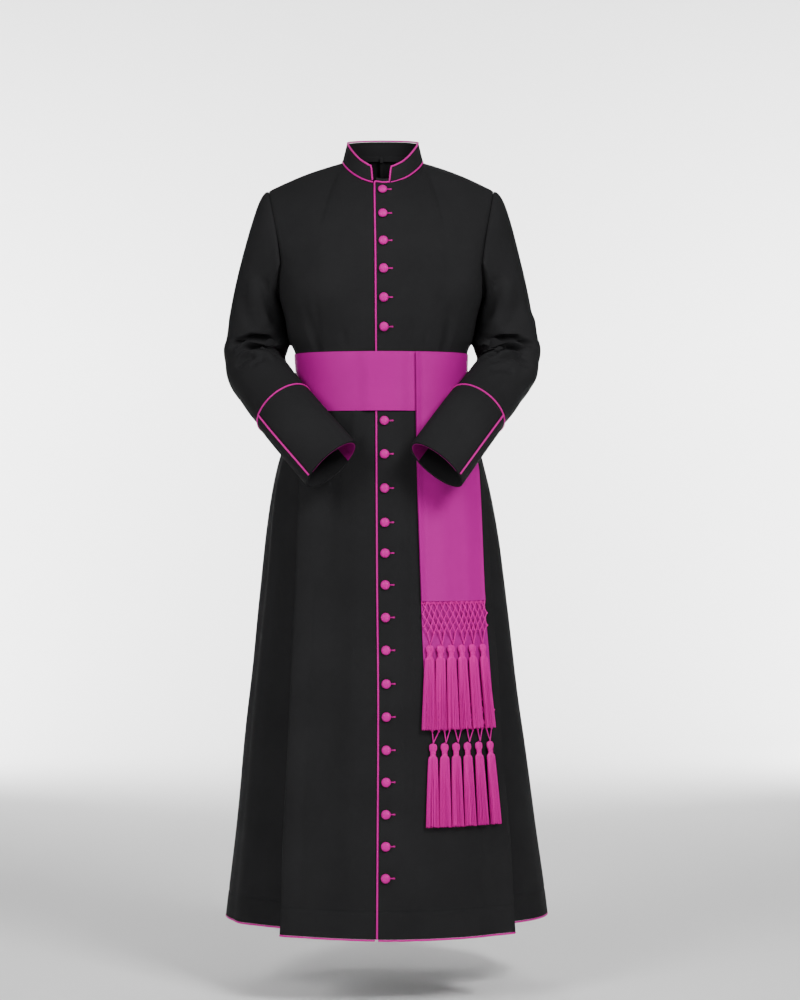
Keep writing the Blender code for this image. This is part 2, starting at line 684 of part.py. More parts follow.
def sleeve_pieces(forms, side, black, magenta):
    form, outward, count = sleeve_form(forms, side)
    hand = "left" if side > 0 else "right"

    def sleeve(step, row, is_inner):
        return form[step, row] - outward[step, row] * (CLOTH if is_inner else 0.0)

    def cuff(step, row, is_inner):
        key = (step, CUFF_ROW + row)
        return form[key] + outward[key] * (SEAM if is_inner else SEAM + CUFF)

    def facing(step, row, is_inner):
        key = ((FACING_FIRST + step) % count, SLEEVE_ROWS - 1 + row)
        depth = CLOTH + SEAM + (FACING if is_inner else 0.0)
        return form[key] - outward[key] * depth

    cloth_wall("sleeve_" + hand, count, SLEEVE_ROWS, sleeve, black, closed=True)
    cloth_wall("cuff_" + hand, count, SLEEVE_ROWS - CUFF_ROW, cuff, black, closed=True)
    cloth_wall("cuff_facing_" + hand, FACING_COLUMNS, 1, facing, magenta)

    lift = TRIM_CORD + SEAM
    path = [toward(form[i, CUFF_ROW], form[i, CUFF_ROW - 1], lift) + outward[i, CUFF_ROW] * lift
            for i in range(count)]
    cord("cuff_piping_" + hand, path, TRIM_CORD, magenta, closed=True)
    path = []
    for row in range(CUFF_ROW, SLEEVE_ROWS + 1):
        here, beside = (CUFF_SEAM, row), (CUFF_SEAM + 1, row)
        away = (outward[here] + outward[beside]) * (0.5 * (CUFF + SEAM + lift))
        path.append(form[here].lerp(form[beside], 0.5) + away)
    path[0] = toward(path[0], path[1], SEAM)
    cord("cuff_seam_piping_" + hand, path, TRIM_CORD, magenta)


# ---- piping and collar ------------------------------------------------------------------------
def neck_path(forms):
    """The neckline from the collar's right front end round the back to its left front end."""
    right, left = forms[-1][0], forms[1][0]

    def front_end(points, x):
        return points[0, 0].lerp(points[1, 0], abs(x) / abs(points[1, 0].x))

    back = [CENTRE_BACK - step for step in range(NECK_COLUMNS)]
    path = [front_end(right, COLLAR_RIGHT_END)]
    path += [right[column, 0] for column in range(1, NECK_COLUMNS + 1)]
    path += [right[column, 0] for column in reversed(back)]
    path += [left[column, 0] for column in back[1:]]
    path += [left[column, 0] for column in range(NECK_COLUMNS, 0, -1)]
    path.append(front_end(left, COLLAR_LEFT_END))
    return path


def steepness(path, index):
    """How much further a vertical lift must go to clear the steeper run at one point."""
    share = 1.0
    for other in (index - 1, index + 1):
        if 0 <= other < len(path):
            run = path[other] - path[index]
            share = max(share, run.length / run.xy.length)
    return share


def collar_frame(path, index):
    """The outward direction of the collar and the share of its side height at one point."""
    along = path[min(index + 1, len(path) - 1)] - path[max(index - 1, 0)]
    outward = Vector((0.0, 0.0, 1.0)).cross(along)
    outward.z = 0.0
    outward.normalize()
    away = abs(path[index].x) / NECK_WIDE if path[index].y < 0.0 else 1.0
    return outward, ease((away - 0.4) / 0.6)


def collar_point(path, index, share):
    """The collar's outer face: share 0 is its foot and 1 its top."""
    outward, side_share = collar_frame(path, index)
    foot = (2 * TRIM_CORD + NECK_CORD_GAP + SEAM) * steepness(path, index)
    height = blend(COLLAR_FRONT_HEIGHT, COLLAR_SIDE_HEIGHT, side_share)
    lean = blend(0.6, 1.0, side_share) * COLLAR_LEAN * share
    point = path[index] + Vector((0.0, 0.0, foot + height * share)) - outward * lean
    if index in (0, len(path) - 1):
        along = path[index + 1 if index == 0 else index - 1] - path[index]
        along.z = 0.0
        point += along.normalized() * COLLAR_SLANT * share
    return point


def collar_pieces(forms, black, magenta):
    path = neck_path(forms)
    last = len(path) - 1

    def place(step, row, is_inner):
        outward, _ = collar_frame(path, step)
        point = collar_point(path, step, 1.0 - row / COLLAR_ROWS)
        return point - outward * (COLLAR if is_inner else 0.0)

    cloth_wall("collar", last, COLLAR_ROWS, place, black)

    lift = Vector((0.0, 0.0, TRIM_CORD + NECK_CORD_GAP))
    run = [path[index] + lift * steepness(path, index) for index in range(last + 1)]
    cord("neckline_piping", run, TRIM_CORD, magenta)

    middle = [collar_frame(path, index)[0] * (COLLAR / 2) for index in range(last + 1)]
    off = TRIM_CORD + SEAM
    edge = []
    for index, beside in ((0, 1), (last, last - 1)):
        end_run = []
        for share in (0.03, 0.35, 0.75):
            point = collar_point(path, index, share)
            inner = collar_point(path, beside, share)
            inner.z = point.z
            end_run.append(toward(point, inner, -off) - middle[index])
        edge.append(end_run)
    top = [collar_point(path, index, 1.0) - middle[index] for index in range(last + 1)]
    lifts = [Vector((0.0, 0.0, off * steepness(top, index))) for index in range(last + 1)]
    top = [point + rise for point, rise in zip(top, lifts)]
    top[0] = toward(top[0], top[1], -off)
    top[-1] = toward(top[-1], top[-2], -off)
    cord("collar_piping", edge[0] + top + edge[1][::-1], TRIM_CORD, magenta)


def front_edge_path(forms):
    """Along the top of the left front's lap, round its corner and down its edge to the hem."""
    points, outward = forms[1]
    off = EDGE_CORD + SEAM
    above = Vector((0.0, 0.0, EDGE_CORD + NECK_CORD_GAP))
    rise = LAP_RISE - CLOTH / 2
    start = points[0, 0].lerp(points[1, 0], (COLLAR_LEFT_END - 0.0015) / points[1, 0].x)
    path = [start + above + outward[0, 0] * rise]
    for row in range(LAST_ROW + 1):
        path.append(points[LAP, row] + outward[LAP, row] * off - Vector((off, 0.0, 0.0)))
    path[1] += above
    return path


def hem_path(forms):
    """Under the hem, from the left front's edge round the back to the right front."""
    below = Vector((0.0, 0.0, -(EDGE_CORD + SEAM)))
    path = []
    for side, order in ((1, range(LAP, CENTRE_BACK + 1)), (-1, range(CENTRE_BACK - 1, 0, -1))):
        points, outward = forms[side]
        for column in order:
            out = lap_rise(side, column) - CLOTH / 2
            path.append(points[column, LAST_ROW] + outward[column, LAST_ROW] * out + below)
    return path


# ---- sash, falls and nets ---------------------------------------------------------------------
def band_rise(column):
    return BAND_LAYER + (BAND_OVER_LAP if column <= 1 else 0.0)


def sash_band(forms, material):
    half = CENTRE_BACK
    columns = 2 * half

    def place(step, row, is_inner):
        side, column = (1, step) if step <= half else (-1, columns - step)
        points, outward = forms[side]
        key = (column, SASH_ROWS[row])
        level = outward[key].copy()
        level.z = 0.0
        out = band_rise(column) + (0.0 if is_inner else BAND)
        return points[key] + level.normalized() * out

    return cloth_wall("sash_band", columns, len(SASH_ROWS) - 1, place, material, closed=True,
                      turned=lambda step: step >= half)


def turn_at(side, x, z):
    """The angle round the body at which the plain section at height z reaches x."""
    share = side * (x - read_level(LEVELS, z, "centre_x")) / read_level(LEVELS, z, "half_width")
    return math.degrees(math.asin(min(1.0, share) ** (read_level(LEVELS, z, "square") / 2.0)))


def lying_place(turn_of, z, out):
    """A place laid on the left front, on the straight run between its rows above and below z."""
    above = min(row for row in LOWER_ROWS if row >= z)
    below = max(row for row in LOWER_ROWS if row <= z)
    ends = [body_place(1, turn_of(row), row) + ring_outward(1, turn_of(row), row) * out
            for row in (above, below)]
    return ends[0] if above == below else ends[0].lerp(ends[1], (above - z) / (above - below))


def fall_place(across, z, out):
    """A place on what hangs from the sash: across is 0 at its inner edge and 1 at its outer."""
    def turn_of(row):
        start = turn_at(1, read_level(FALL, row, "left_x"), row)
        end = turn_at(1, read_level(FALL, row, "right_x"), row)
        return blend(start, end, across)

    return lying_place(turn_of, z, out)


def fall(name, heights, layer, material):
    def place(step, row, is_inner):
        out = layer + (0.0 if is_inner else SILK)
        return fall_place(step / FALL_COLUMNS, heights[row], out)

    return cloth_wall(name, FALL_COLUMNS, len(heights) - 1, place, material)


def net(name, top, layer, material):
    """Crossing cord pairs that gather into a point above each tassel."""
    mesh = bmesh.new()
    bmesh.ops.create_grid(mesh, x_segments=NET_COLUMNS, y_segments=NET_ROWS, size=0.5)
    stretch = Matrix.Diagonal((NET_COLUMNS * NET_CELL.x, NET_ROWS * NET_CELL.y, 1.0))
    bmesh.ops.transform(mesh, matrix=stretch.to_4x4(), verts=mesh.verts[:])
    inside = [edge for edge in mesh.edges if not edge.is_boundary]
    poked = bmesh.ops.poke(mesh, faces=mesh.faces[:])["faces"]
    foot = -NET_ROWS * NET_CELL.y / 2
    gone = [face for face in poked
            if face.calc_center_median().y < foot + NET_CELL.y and not is_upper(face, foot)]
    bmesh.ops.delete(mesh, geom=gone, context="FACES")
    joined = [edge for edge in inside if edge.is_valid and len(edge.link_faces) == 2]
    bmesh.ops.dissolve_edges(mesh, edges=joined)
    cells = mesh.faces[:]
    bmesh.ops.inset_individual(mesh, faces=cells, thickness=NET_CORD, use_even_offset=True)
    bmesh.ops.delete(mesh, geom=cells, context="FACES")
    made = bmesh.ops.extrude_face_region(mesh, geom=mesh.faces[:])
    inner = {vert for vert in made["geom"] if isinstance(vert, bmesh.types.BMVert)}
    head = NET_ROWS * NET_CELL.y / 2
    depth = (NET_ROWS - 0.5) * NET_CELL.y
    for vert in mesh.verts:
        across = vert.co.x / (NET_COLUMNS * NET_CELL.x) + 0.5
        z = top - NET_DROP * (head - vert.co.y) / depth
        vert.co = fall_place(across, z, layer + (0.0 if vert in inner else SILK))
    return finish_mesh(name, mesh, material, smooth=False)


def is_upper(face, foot):
    """Whether a face of the lowest row of cells is the top quarter of its cell."""
    top_corners = [vert for vert in face.verts if vert.co.y > foot + 0.9 * NET_CELL.y]
    return len(top_corners) == 2


# ---- tassels and buttons ----------------------------------------------------------------------
def tassel_mesh(name, length, material):
    """A wrapped head with its strands, hanging down from the origin."""
    mesh = bmesh.new()
    foot_depth, foot_radius = HEAD_OUTLINE[-1]
    bmesh.ops.create_circle(mesh, cap_ends=True, cap_tris=True, segments=STRANDS,
                            radius=foot_radius)
    roots = mesh.faces[:]
    bmesh.ops.translate(mesh, vec=(0.0, 0.0, -foot_depth), verts=mesh.verts[:])
    rim = [edge for edge in mesh.edges if edge.is_boundary]
    radius = foot_radius
    for depth, next_radius in reversed(HEAD_OUTLINE[:-1]):
        made = bmesh.ops.extrude_edge_only(mesh, edges=rim)["geom"]
        verts = [item for item in made if isinstance(item, bmesh.types.BMVert)]
        rim = [item for item in made if isinstance(item, bmesh.types.BMEdge)]
        for vert in verts:
            vert.co.x *= next_radius / radius
            vert.co.y *= next_radius / radius
            vert.co.z = -depth
        radius = next_radius
    bmesh.ops.contextual_create(mesh, geom=rim)
    bmesh.ops.inset_individual(mesh, faces=roots, thickness=STRAND_GAP, use_even_offset=True)
    tips = bmesh.ops.extrude_discrete_faces(mesh, faces=roots)["faces"]
    for vert in {vert for face in tips for vert in face.verts}:
        vert.co.x *= TASSEL_SPREAD
        vert.co.y *= TASSEL_SPREAD
        vert.co.z = -length
    for vert in mesh.verts:
        vert.co.y *= TASSEL_FLAT
    bmesh.ops.recalc_face_normals(mesh, faces=mesh.faces[:])
    data = bpy.data.meshes.new(name)
    mesh.to_mesh(data)
    mesh.free()
    data.materials.append(material)
    return data


def tassel_row(row, material):
    """Six tassels of one row, each laid against what is beneath it."""
    spread = HEAD_OUTLINE[-1][1] * TASSEL_SPREAD * TASSEL_FLAT + SEAM
    ball = HEAD_OUTLINE[1][1] * TASSEL_FLAT + SEAM
    places = []
    for index in range(TASSELS):
        ends = []
        for x, z, out in ((row.head_x + index * row.head_pitch, row.top, ball),
                          (row.tip_x + index * row.tip_pitch, row.tip, spread)):
            turn = turn_at(1, x, z)
            away = ring_outward(1, turn, z)
            ends.append(body_place(1, turn, z) + away * (row.layer + out))
        places.append((ends[0], ends[1], away))
    length = sum((tip - head).length for head, tip, _ in places) / TASSELS
    mesh = tassel_mesh("tassel_" + row.name, length, material)
    for index, (head, tip, away) in enumerate(places):
        up = (head - tip).normalized()
        depth = (away - up * away.dot(up)).normalized()
        piece = bpy.data.objects.new(f"tassel_{row.name}_{index + 1}", mesh)
        turn = Matrix((depth.cross(up), depth, up)).transposed()
        piece.matrix_world = Matrix.Translation(head) @ turn.to_4x4()
        bpy.data.collections["cassock"].objects.link(piece)


def button_mesh(material):
    mesh = bmesh.new()
    bmesh.ops.create_uvsphere(mesh, u_segments=8, v_segments=4, radius=BUTTON_RADIUS)
    for vert in mesh.verts:
        share = vert.co.z / BUTTON_RADIUS
        vert.co.z = BUTTON_HEIGHT * (0.0 if share < -0.1 else blend(0.42, 1.0, share))
    bmesh.ops.recalc_face_normals(mesh, faces=mesh.faces[:])
    data = bpy.data.meshes.new("button")
    mesh.to_mesh(data)
    mesh.free()
    data.shade_smooth()
    data.materials.append(material)
    return data


def centre_front(points, z):
    """The centre front at height z, and the direction straight out from the cloth there."""
    for row in range(LAST_ROW):
        above, below = points[0, row], points[0, row + 1]
        if below.z <= z:
            break
    share = (above.z - z) / (above.z - below.z)
    down = (below - above).normalized()
    return above.lerp(below, share), Vector((0.0, down.z, -down.y)).normalized()


def buttons(forms, material):
    mesh = button_mesh(material)
    for number, z in enumerate(BUTTON_LEVELS, 1):
        point, away = centre_front(forms[1][0], z)
        piece = bpy.data.objects.new(f"button_{number:02d}", mesh)
        piece.location = point + away * BUTTON_RISE
        piece.rotation_euler = away.to_track_quat("Z", "Y").to_euler()
        bpy.data.collections["cassock"].objects.link(piece)


# ---- the whole cassock ------------------------------------------------------------------------
def build():
    for old in list(bpy.data.objects):
        bpy.data.objects.remove(old, do_unlink=True)
    group = bpy.data.collections.new("cassock")
    bpy.context.scene.collection.children.link(group)

    black = cloth_material("black worsted", BLACK, 0.82)
    trim = cloth_material("magenta piping", MAGENTA, 0.6)
    silk = cloth_material("magenta silk faille", MAGENTA, 0.55)
    fringe = cloth_material("magenta silk cord", MAGENTA, 0.6)
    button_silk = cloth_material("magenta button cloth", MAGENTA, 0.5)

    forms = {side: body_form(side) for side in (-1, 1)}
    add_lap(forms, 1, LAP_OVER, 0.0)
    add_lap(forms, -1, LAP_UNDER, UNDERLAP_SINK)
    for side, hand in ((1, "left"), (-1, "right")):
        body_panel("front_" + hand, forms, side, LAP, SIDE_SEAM, black)
        body_panel("back_" + hand, forms, side, SIDE_SEAM, CENTRE_BACK, black)
        sleeve_pieces(forms, side, black, trim)
    collar_pieces(forms, black, trim)
    cord("front_edge_piping", front_edge_path(forms), EDGE_CORD, trim)
    cord("hem_piping", hem_path(forms), EDGE_CORD, trim)
    buttons(forms, button_silk)

    sash_band(forms, silk)
    fall("fall_front", FRONT_FALL_ROWS, OVER_LAYER, silk)
    fall("fall_rear", REAR_FALL_ROWS, UNDER_LAYER, silk)
    net("net_front", FRONT_FALL_END - SEAM, OVER_LAYER, fringe)
    net("net_rear", REAR_FALL_END - SEAM, UNDER_LAYER, fringe)
    for row in TASSEL_ROWS:
        tassel_row(row, fringe)


build()
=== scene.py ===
import math
import random
from collections import namedtuple

import bmesh
import bpy
import numpy as np
from mathutils import Matrix, Vector, noise


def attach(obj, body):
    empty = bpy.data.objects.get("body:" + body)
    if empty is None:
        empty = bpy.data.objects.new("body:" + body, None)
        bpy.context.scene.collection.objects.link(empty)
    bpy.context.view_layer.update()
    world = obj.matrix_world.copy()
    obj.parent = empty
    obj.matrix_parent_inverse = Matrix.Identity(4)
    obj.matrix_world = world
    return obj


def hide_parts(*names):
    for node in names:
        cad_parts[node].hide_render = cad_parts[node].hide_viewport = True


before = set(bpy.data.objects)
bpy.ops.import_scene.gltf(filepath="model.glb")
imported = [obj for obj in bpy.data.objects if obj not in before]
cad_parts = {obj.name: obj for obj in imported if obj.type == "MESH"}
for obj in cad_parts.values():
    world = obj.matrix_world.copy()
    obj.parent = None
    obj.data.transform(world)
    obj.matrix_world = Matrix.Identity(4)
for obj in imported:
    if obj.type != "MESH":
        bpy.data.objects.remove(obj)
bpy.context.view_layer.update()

# Metres, +Z up. The wearer faces -Y, and +X is the wearer's left. The forms below repeat the
# construction's own curves at a finer step, so each fine piece lies where its solid does.

# ---- sizes ----
CLOTH, SILK, BAND, CUFF, FACING, COLLAR = 0.002, 0.0016, 0.0018, 0.0018, 0.001, 0.0025
SEAM = 0.0003             # gap between two pieces at a seam
SET_IN = 0.0008           # gap round the armhole
NECK_WIDE, NECK_FRONT, NECK_BACK, NECK_DROP, NECK_RISE = 0.077, -0.078, 0.07, 0.05, 0.012
NECK_CURVE = 1.4
SHOULDER_TIP = (0.216, 0.0, -0.054)
UPPER_CENTRE_X = -0.003
SHOULDER_CROWN = 0.0045
SASH_TOP, SASH_BOTTOM, HEM = -0.3685, -0.4795, -1.447
LAP_OVER, LAP_UNDER, UNDERLAP_SINK = 0.013, 0.018, 0.001
LAP_RISE = CLOTH + 0.0009
EDGE_CORD, TRIM_CORD = 0.0018, 0.0017
ALLOWANCE, NECK_ALLOWANCE, ALLOWANCE_SINK = 0.006, 0.009, 0.0031
STITCH_UP = 0.048         # how far above the hem its stitching runs
# How hard the cloth's upper arc is pulled over and up as it comes to the neck and the shoulder.
NECK_OVER, NECK_OVER_MORE, NECK_UP = 0.08, 0.06, 0.12
SHOULDER_OVER, SHOULDER_OVER_LESS = 0.14, 0.055
# How far below that arc's foot its direction is read, and how hard that pulls it up.
RISE_STEP, RISE_PULL = 0.03, 1.05
FOLD_HOLLOW, ARMHOLE_HOLLOW = 1.35, 1.7      # powers of two hollow curves

# The body's plain section at each level; square is 2 for an oval, and more for a boxier one.
Level = namedtuple("Level", "z half_width centre_x front_y side_y back_y square")
LEVELS = (
    Level(-0.2, 0.205, -0.002, -0.134, 0.0, 0.122, 3.0),
    Level(-0.262, 0.195, -0.003, -0.138, 0.0, 0.118, 2.8),
    Level(-0.3, 0.1842, -0.003, -0.136, 0.0, 0.112, 2.6),
    Level(-0.34, 0.176, -0.004, -0.13, 0.0, 0.105, 2.4),
    Level(SASH_TOP, 0.165, -0.003, -0.126, 0.0, 0.1, 2.25),
    Level(-0.42, 0.1628, -0.0022, -0.124, 0.0, 0.099, 2.2),
    Level(SASH_BOTTOM, 0.1655, -0.0025, -0.127, 0.0, 0.104, 2.2),
    Level(-0.52, 0.183, -0.003, -0.134, 0.0, 0.118, 2.15),
    Level(-0.57, 0.2, -0.003, -0.141, 0.0, 0.134, 2.1),
    Level(-0.647, 0.2165, -0.001, -0.151, 0.0, 0.15, 2.05),
    Level(-0.839, 0.242, 0.002, -0.178, 0.005, 0.185, 2.0),
    Level(-1.031, 0.265, 0.004, -0.205, 0.01, 0.222, 2.0),
    Level(-1.223, 0.2875, 0.006, -0.232, 0.015, 0.258, 2.0),
    Level(HEM, 0.316, 0.009, -0.262, 0.02, 0.3, 2.0),
)
# The folds beside the front panel: where their front edge, seam and far end stand round the
# body, in degrees from the centre front, and how deep they dip.
SideFold = namedtuple("SideFold", "z ridge seam tail dip")
SIDE_FOLDS = {
    -1: (
        SideFold(-0.2, 63.0, 90.0, 115.0, 0.0),
        SideFold(-0.365, 69.0, 88.0, 110.0, 0.0),
        SideFold(SASH_BOTTOM, 64.0, 76.0, 104.0, 0.0),
        SideFold(-0.6, 45.5, 52.5, 97.0, 0.022),
        SideFold(-0.84, 41.4, 47.4, 95.0, 0.044),
        SideFold(HEM, 38.0, 43.2, 95.0, 0.08),
    ),
    1: (
        SideFold(-0.2, 63.0, 90.0, 115.0, 0.0),
        SideFold(-0.365, 71.0, 90.0, 112.0, 0.0),
        SideFold(SASH_BOTTOM, 74.0, 87.0, 110.0, 0.0),
        SideFold(-0.6, 64.4, 72.0, 104.0, 0.024),
        SideFold(-0.84, 57.0, 63.5, 101.0, 0.052),
        SideFold(HEM, 47.8, 53.7, 100.0, 0.105),
    ),
}
# Where the centre front line runs, from side to side.
CentreFront = namedtuple("CentreFront", "z x")
CENTRE_FRONT = (
    CentreFront(-0.2, 0.0023),
    CentreFront(-0.32, 0.0031),
    CentreFront(-0.5, 0.0038),
    CentreFront(-0.8, 0.0057),
    CentreFront(-1.04, 0.008),
    CentreFront(-1.34, 0.0068),
    CentreFront(HEM, 0.0063),
)
# How far a fold's front edge stands out, as a share of its dip, and over how many degrees.
RIDGE_LIFT, RIDGE_SPREAD = 0.07, 9.0
# Flutes of the skirt, in degrees round the body. Each starts at its head and is full at its foot.
Flute = namedtuple("Flute", "side turn spread head foot out")
FLUTES = (
    Flute(-1, 72.0, 9.0, -0.5, -0.62, 0.007),
    Flute(1, 128.0, 13.0, -0.5, HEM, 0.022),
    Flute(-1, 133.0, 12.0, -0.5, HEM, 0.025),
    Flute(1, 158.0, 11.0, -0.56, HEM, 0.017),
    Flute(-1, 161.0, 10.0, -0.54, HEM, 0.018),
    Flute(1, 143.0, 9.0, -0.6, HEM, -0.014),
    Flute(-1, 148.0, 9.0, -0.58, HEM, -0.015),
)
# Soft pleats beside the sash, in degrees round the body. Each is full at near and gone at far.
Tuck = namedtuple("Tuck", "side turn spread near far out")
TUCKS = (
    Tuck(-1, 43.0, 6.0, -0.335, -0.255, -0.0035),
    Tuck(1, 43.0, 6.0, -0.335, -0.265, -0.0035),
    Tuck(-1, 14.0, 5.0, -0.5, -0.56, 0.003),
    Tuck(-1, 29.0, 5.0, -0.5, -0.58, 0.0025),
    Tuck(1, 120.0, 8.0, -0.335, -0.25, -0.005),
    Tuck(-1, 124.0, 8.0, -0.335, -0.26, -0.0045),
    Tuck(1, 150.0, 7.0, -0.335, -0.27, -0.004),
    Tuck(-1, 152.0, 7.0, -0.335, -0.255, -0.004),
)
# Columns of cloth from the centre front to the centre back, as in the construction.
NECK, RIDGE, SIDE_SEAM, TAIL, CENTRE_BACK = 4, 9, 12, 16, 25
ARMHOLE_BASE, UNDERARM, CHEST = -0.2, -0.262, -0.3
UP = np.array((0.0, 0.0, 1.0))
NECK_CORD_GAP = 0.0005
CUFF_SEAM, FACING_FIRST, FACING_COLUMNS = 1, 2, 10
TINY, THIN = 1e-12, 1e-6     # lengths too short to count
ASIDE, ABOVE = 0.02, 0.01    # how far beside, above and below a place its slope is taken

# The arm's sections on the wearer's left: their centres and half sizes.
ArmStation = namedtuple("ArmStation", "place x y z half_long half_short")
ARM = (
    ArmStation("biceps", 0.2395, 0.008, -0.3, 0.053, 0.0535),
    ArmStation("above elbow", 0.24, 0.01, -0.345, 0.0585, 0.0575),
    ArmStation("elbow", 0.239, -0.01, -0.396, 0.059, 0.056),
    ArmStation("forearm", 0.2175, -0.055, -0.43, 0.0585, 0.051),
    ArmStation("cuff top", 0.1805, -0.121, -0.477, 0.0575, 0.0445),
    ArmStation("sleeve end", 0.0925, -0.213, -0.582, 0.0585, 0.032),
)
SLEEVE_END_X = {-1: 0.0895, 1: 0.103}
CAP_ROWS, ARM_STEPS = 5, (2, 4, 2, 2, 4)
SLEEVE_ROWS = CAP_ROWS + sum(ARM_STEPS)
CUFF_ROW = SLEEVE_ROWS - ARM_STEPS[-1]
LONG_AXIS = -30.0         # how many degrees a section's long way is turned
ROPE_LIFT = 0.004

# Where the two edges of the falls hang, from side to side.
FallLevel = namedtuple("FallLevel", "z left_x right_x")
FALL = (
    FallLevel(SASH_TOP, 0.061, 0.153),
    FallLevel(SASH_BOTTOM, 0.062, 0.155),
    FallLevel(-0.595, 0.064, 0.178),
    FallLevel(-0.835, 0.0716, 0.1889),
    FallLevel(-0.915, 0.0745, 0.195),
    FallLevel(-1.015, 0.079, 0.202),
    FallLevel(-1.1, 0.0835, 0.21),
)
BAND_LAYER, BAND_OVER_LAP = 0.0006, 0.0042
UNDER_LAYER, OVER_LAYER = 0.0011, 0.0034
FRONT_FALL_END, REAR_FALL_END, NET_DROP = -0.835, -1.015, 0.08
# The first head and tip of each row from side to side, their pitches, their levels, and how far
# the row stands off the skirt.
TasselRow = namedtuple("TasselRow", "name head_x head_pitch tip_x tip_pitch top tip layer")
TASSEL_ROWS = (
    TasselRow("front", 0.0863, 0.0192, 0.0825, 0.0225, -0.916, -1.0715, 0.0029),
    TasselRow("rear", 0.0925, 0.0208, 0.0905, 0.0231, -1.096, -1.248, 0.0005),
)
TASSELS = 6
TASSEL_FLAT, TASSEL_SPREAD = 0.62, 1.32
BUTTON_RADIUS, BUTTON_HEIGHT = 0.00875, 0.0078
BUTTON_LEVELS = (
    -0.0638, -0.1107, -0.1627, -0.2145, -0.2683, -0.3221,
    -0.4995, -0.5617, -0.6255, -0.6894, -0.7463, -0.805, -0.8651, -0.9252,
    -0.9867, -1.047, -1.1072, -1.1653, -1.2235, -1.281, -1.3382,
)
COLLAR_RIGHT_END, COLLAR_LEFT_END, COLLAR_SLANT = -0.0214, 0.0152, 0.004
COLLAR_FRONT_HEIGHT, COLLAR_SIDE_HEIGHT, COLLAR_LEAN = 0.0275, 0.032, 0.008


# ---- smooth tables ----
def ease(share):
    share = np.clip(share, 0.0, 1.0)
    return share * share * (3.0 - 2.0 * share)


def bump(distance, spread):
    """A soft bell, 1 at its middle and 0 past its spread."""
    return (1.0 - np.clip(np.abs(distance) / spread, 0.0, 1.0) ** 2) ** 2


def hermite(start, start_pull, end, end_pull, share):
    square, cube = share * share, share ** 3
    point = (2 * cube - 3 * square + 1) * start + (cube - 2 * square + share) * start_pull
    return point + (3 * square - 2 * cube) * end + (cube - square) * end_pull


def read_level(rows, z, column):
    """A column of a table read at heights z, by a smooth curve with no overshoot."""
    heights = np.array([row.z for row in rows])
    values = np.array([getattr(row, column) for row in rows])
    steps = np.diff(heights)
    slopes = np.diff(values) / steps
    pairs, sums = slopes[:-1] * slopes[1:], slopes[:-1] + slopes[1:]
    middle = np.where(pairs > 0.0, 2.0 * pairs / np.where(sums == 0.0, 1.0, sums), 0.0)
    tangents = np.concatenate((slopes[:1], middle, slopes[-1:]))
    z = np.clip(z, heights[-1], heights[0])
    index = np.clip(np.searchsorted(-heights, -z, side="right") - 1, 0, len(steps) - 1)
    return hermite(values[index], steps[index] * tangents[index], values[index + 1],
                   steps[index] * tangents[index + 1], (z - heights[index]) / steps[index])


def unit(vectors):
    return vectors / np.maximum(np.linalg.norm(vectors, axis=-1, keepdims=True), TINY)


def points_of(x, y, z):
    return np.stack(np.broadcast_arrays(x, y, z), axis=-1).astype(float)


# ---- the body's form ----
def ring_point(side, turn, z):
    """The plain section at height z; turn is in degrees from the centre front."""
    exponent = 2.0 / read_level(LEVELS, z, "square")
    sine, cosine = np.sin(np.radians(turn)), np.cos(np.radians(turn))
    across = np.copysign(np.abs(sine) ** exponent, sine)
    along = np.abs(cosine) ** exponent
    side_y = read_level(LEVELS, z, "side_y")
    reach = np.where(cosine > 0, read_level(LEVELS, z, "front_y"),
                     read_level(LEVELS, z, "back_y")) - side_y
    x = read_level(LEVELS, z, "centre_x") + side * read_level(LEVELS, z, "half_width") * across
    return points_of(x, side_y + reach * along, z)


def ring_outward(side, turn, z):
    along = ring_point(side, turn + 0.5, z) - ring_point(side, turn - 0.5, z)
    return unit(points_of(side * along[..., 1], -side * along[..., 0], 0.0))


def fold_height(side, turn, z):
    """How far the folds move the cloth out at one place."""
    ridge, seam, tail, dip = (read_level(SIDE_FOLDS[side], z, name)
                              for name in ("ridge", "seam", "tail", "dip"))
    lift = RIDGE_LIFT * dip
    rise = lift * bump(turn - ridge, RIDGE_SPREAD)
    fall = lift - (lift + dip) * ease((turn - ridge) / (seam - ridge))
    back = -dip * np.clip(1.0 - (turn - seam) / (tail - seam), 0.0, 1.0) ** FOLD_HOLLOW
    height = np.where(turn <= ridge, rise, np.where(turn <= seam, fall, back))
    for flute in FLUTES:
        if flute.side == side:
            grown = ease((flute.head - z) / (flute.head - flute.foot))
            height = height + flute.out * grown * bump(turn - flute.turn, flute.spread)
    for tuck in TUCKS:
        if tuck.side == side:
            is_near = z > SASH_TOP if tuck.near > SASH_TOP else z < SASH_BOTTOM
            faded = 1.0 - ease((z - tuck.near) / (tuck.far - tuck.near))
            height = height + is_near * tuck.out * faded * bump(turn - tuck.turn, tuck.spread)
    return height


def body_place(side, turn, z):
    height = fold_height(side, turn, z)[..., None]
    return ring_point(side, turn, z) + ring_outward(side, turn, z) * height


def centre_turn(side, z):
    """The angle round the body of the centre front line, which is a little off the middle."""
    x = read_level(CENTRE_FRONT, z, "x") - read_level(LEVELS, z, "centre_x")
    share = side * x / read_level(LEVELS, z, "half_width")
    power = read_level(LEVELS, z, "square") / 2.0
    return np.degrees(np.arcsin(np.copysign(np.abs(share) ** power, share)))


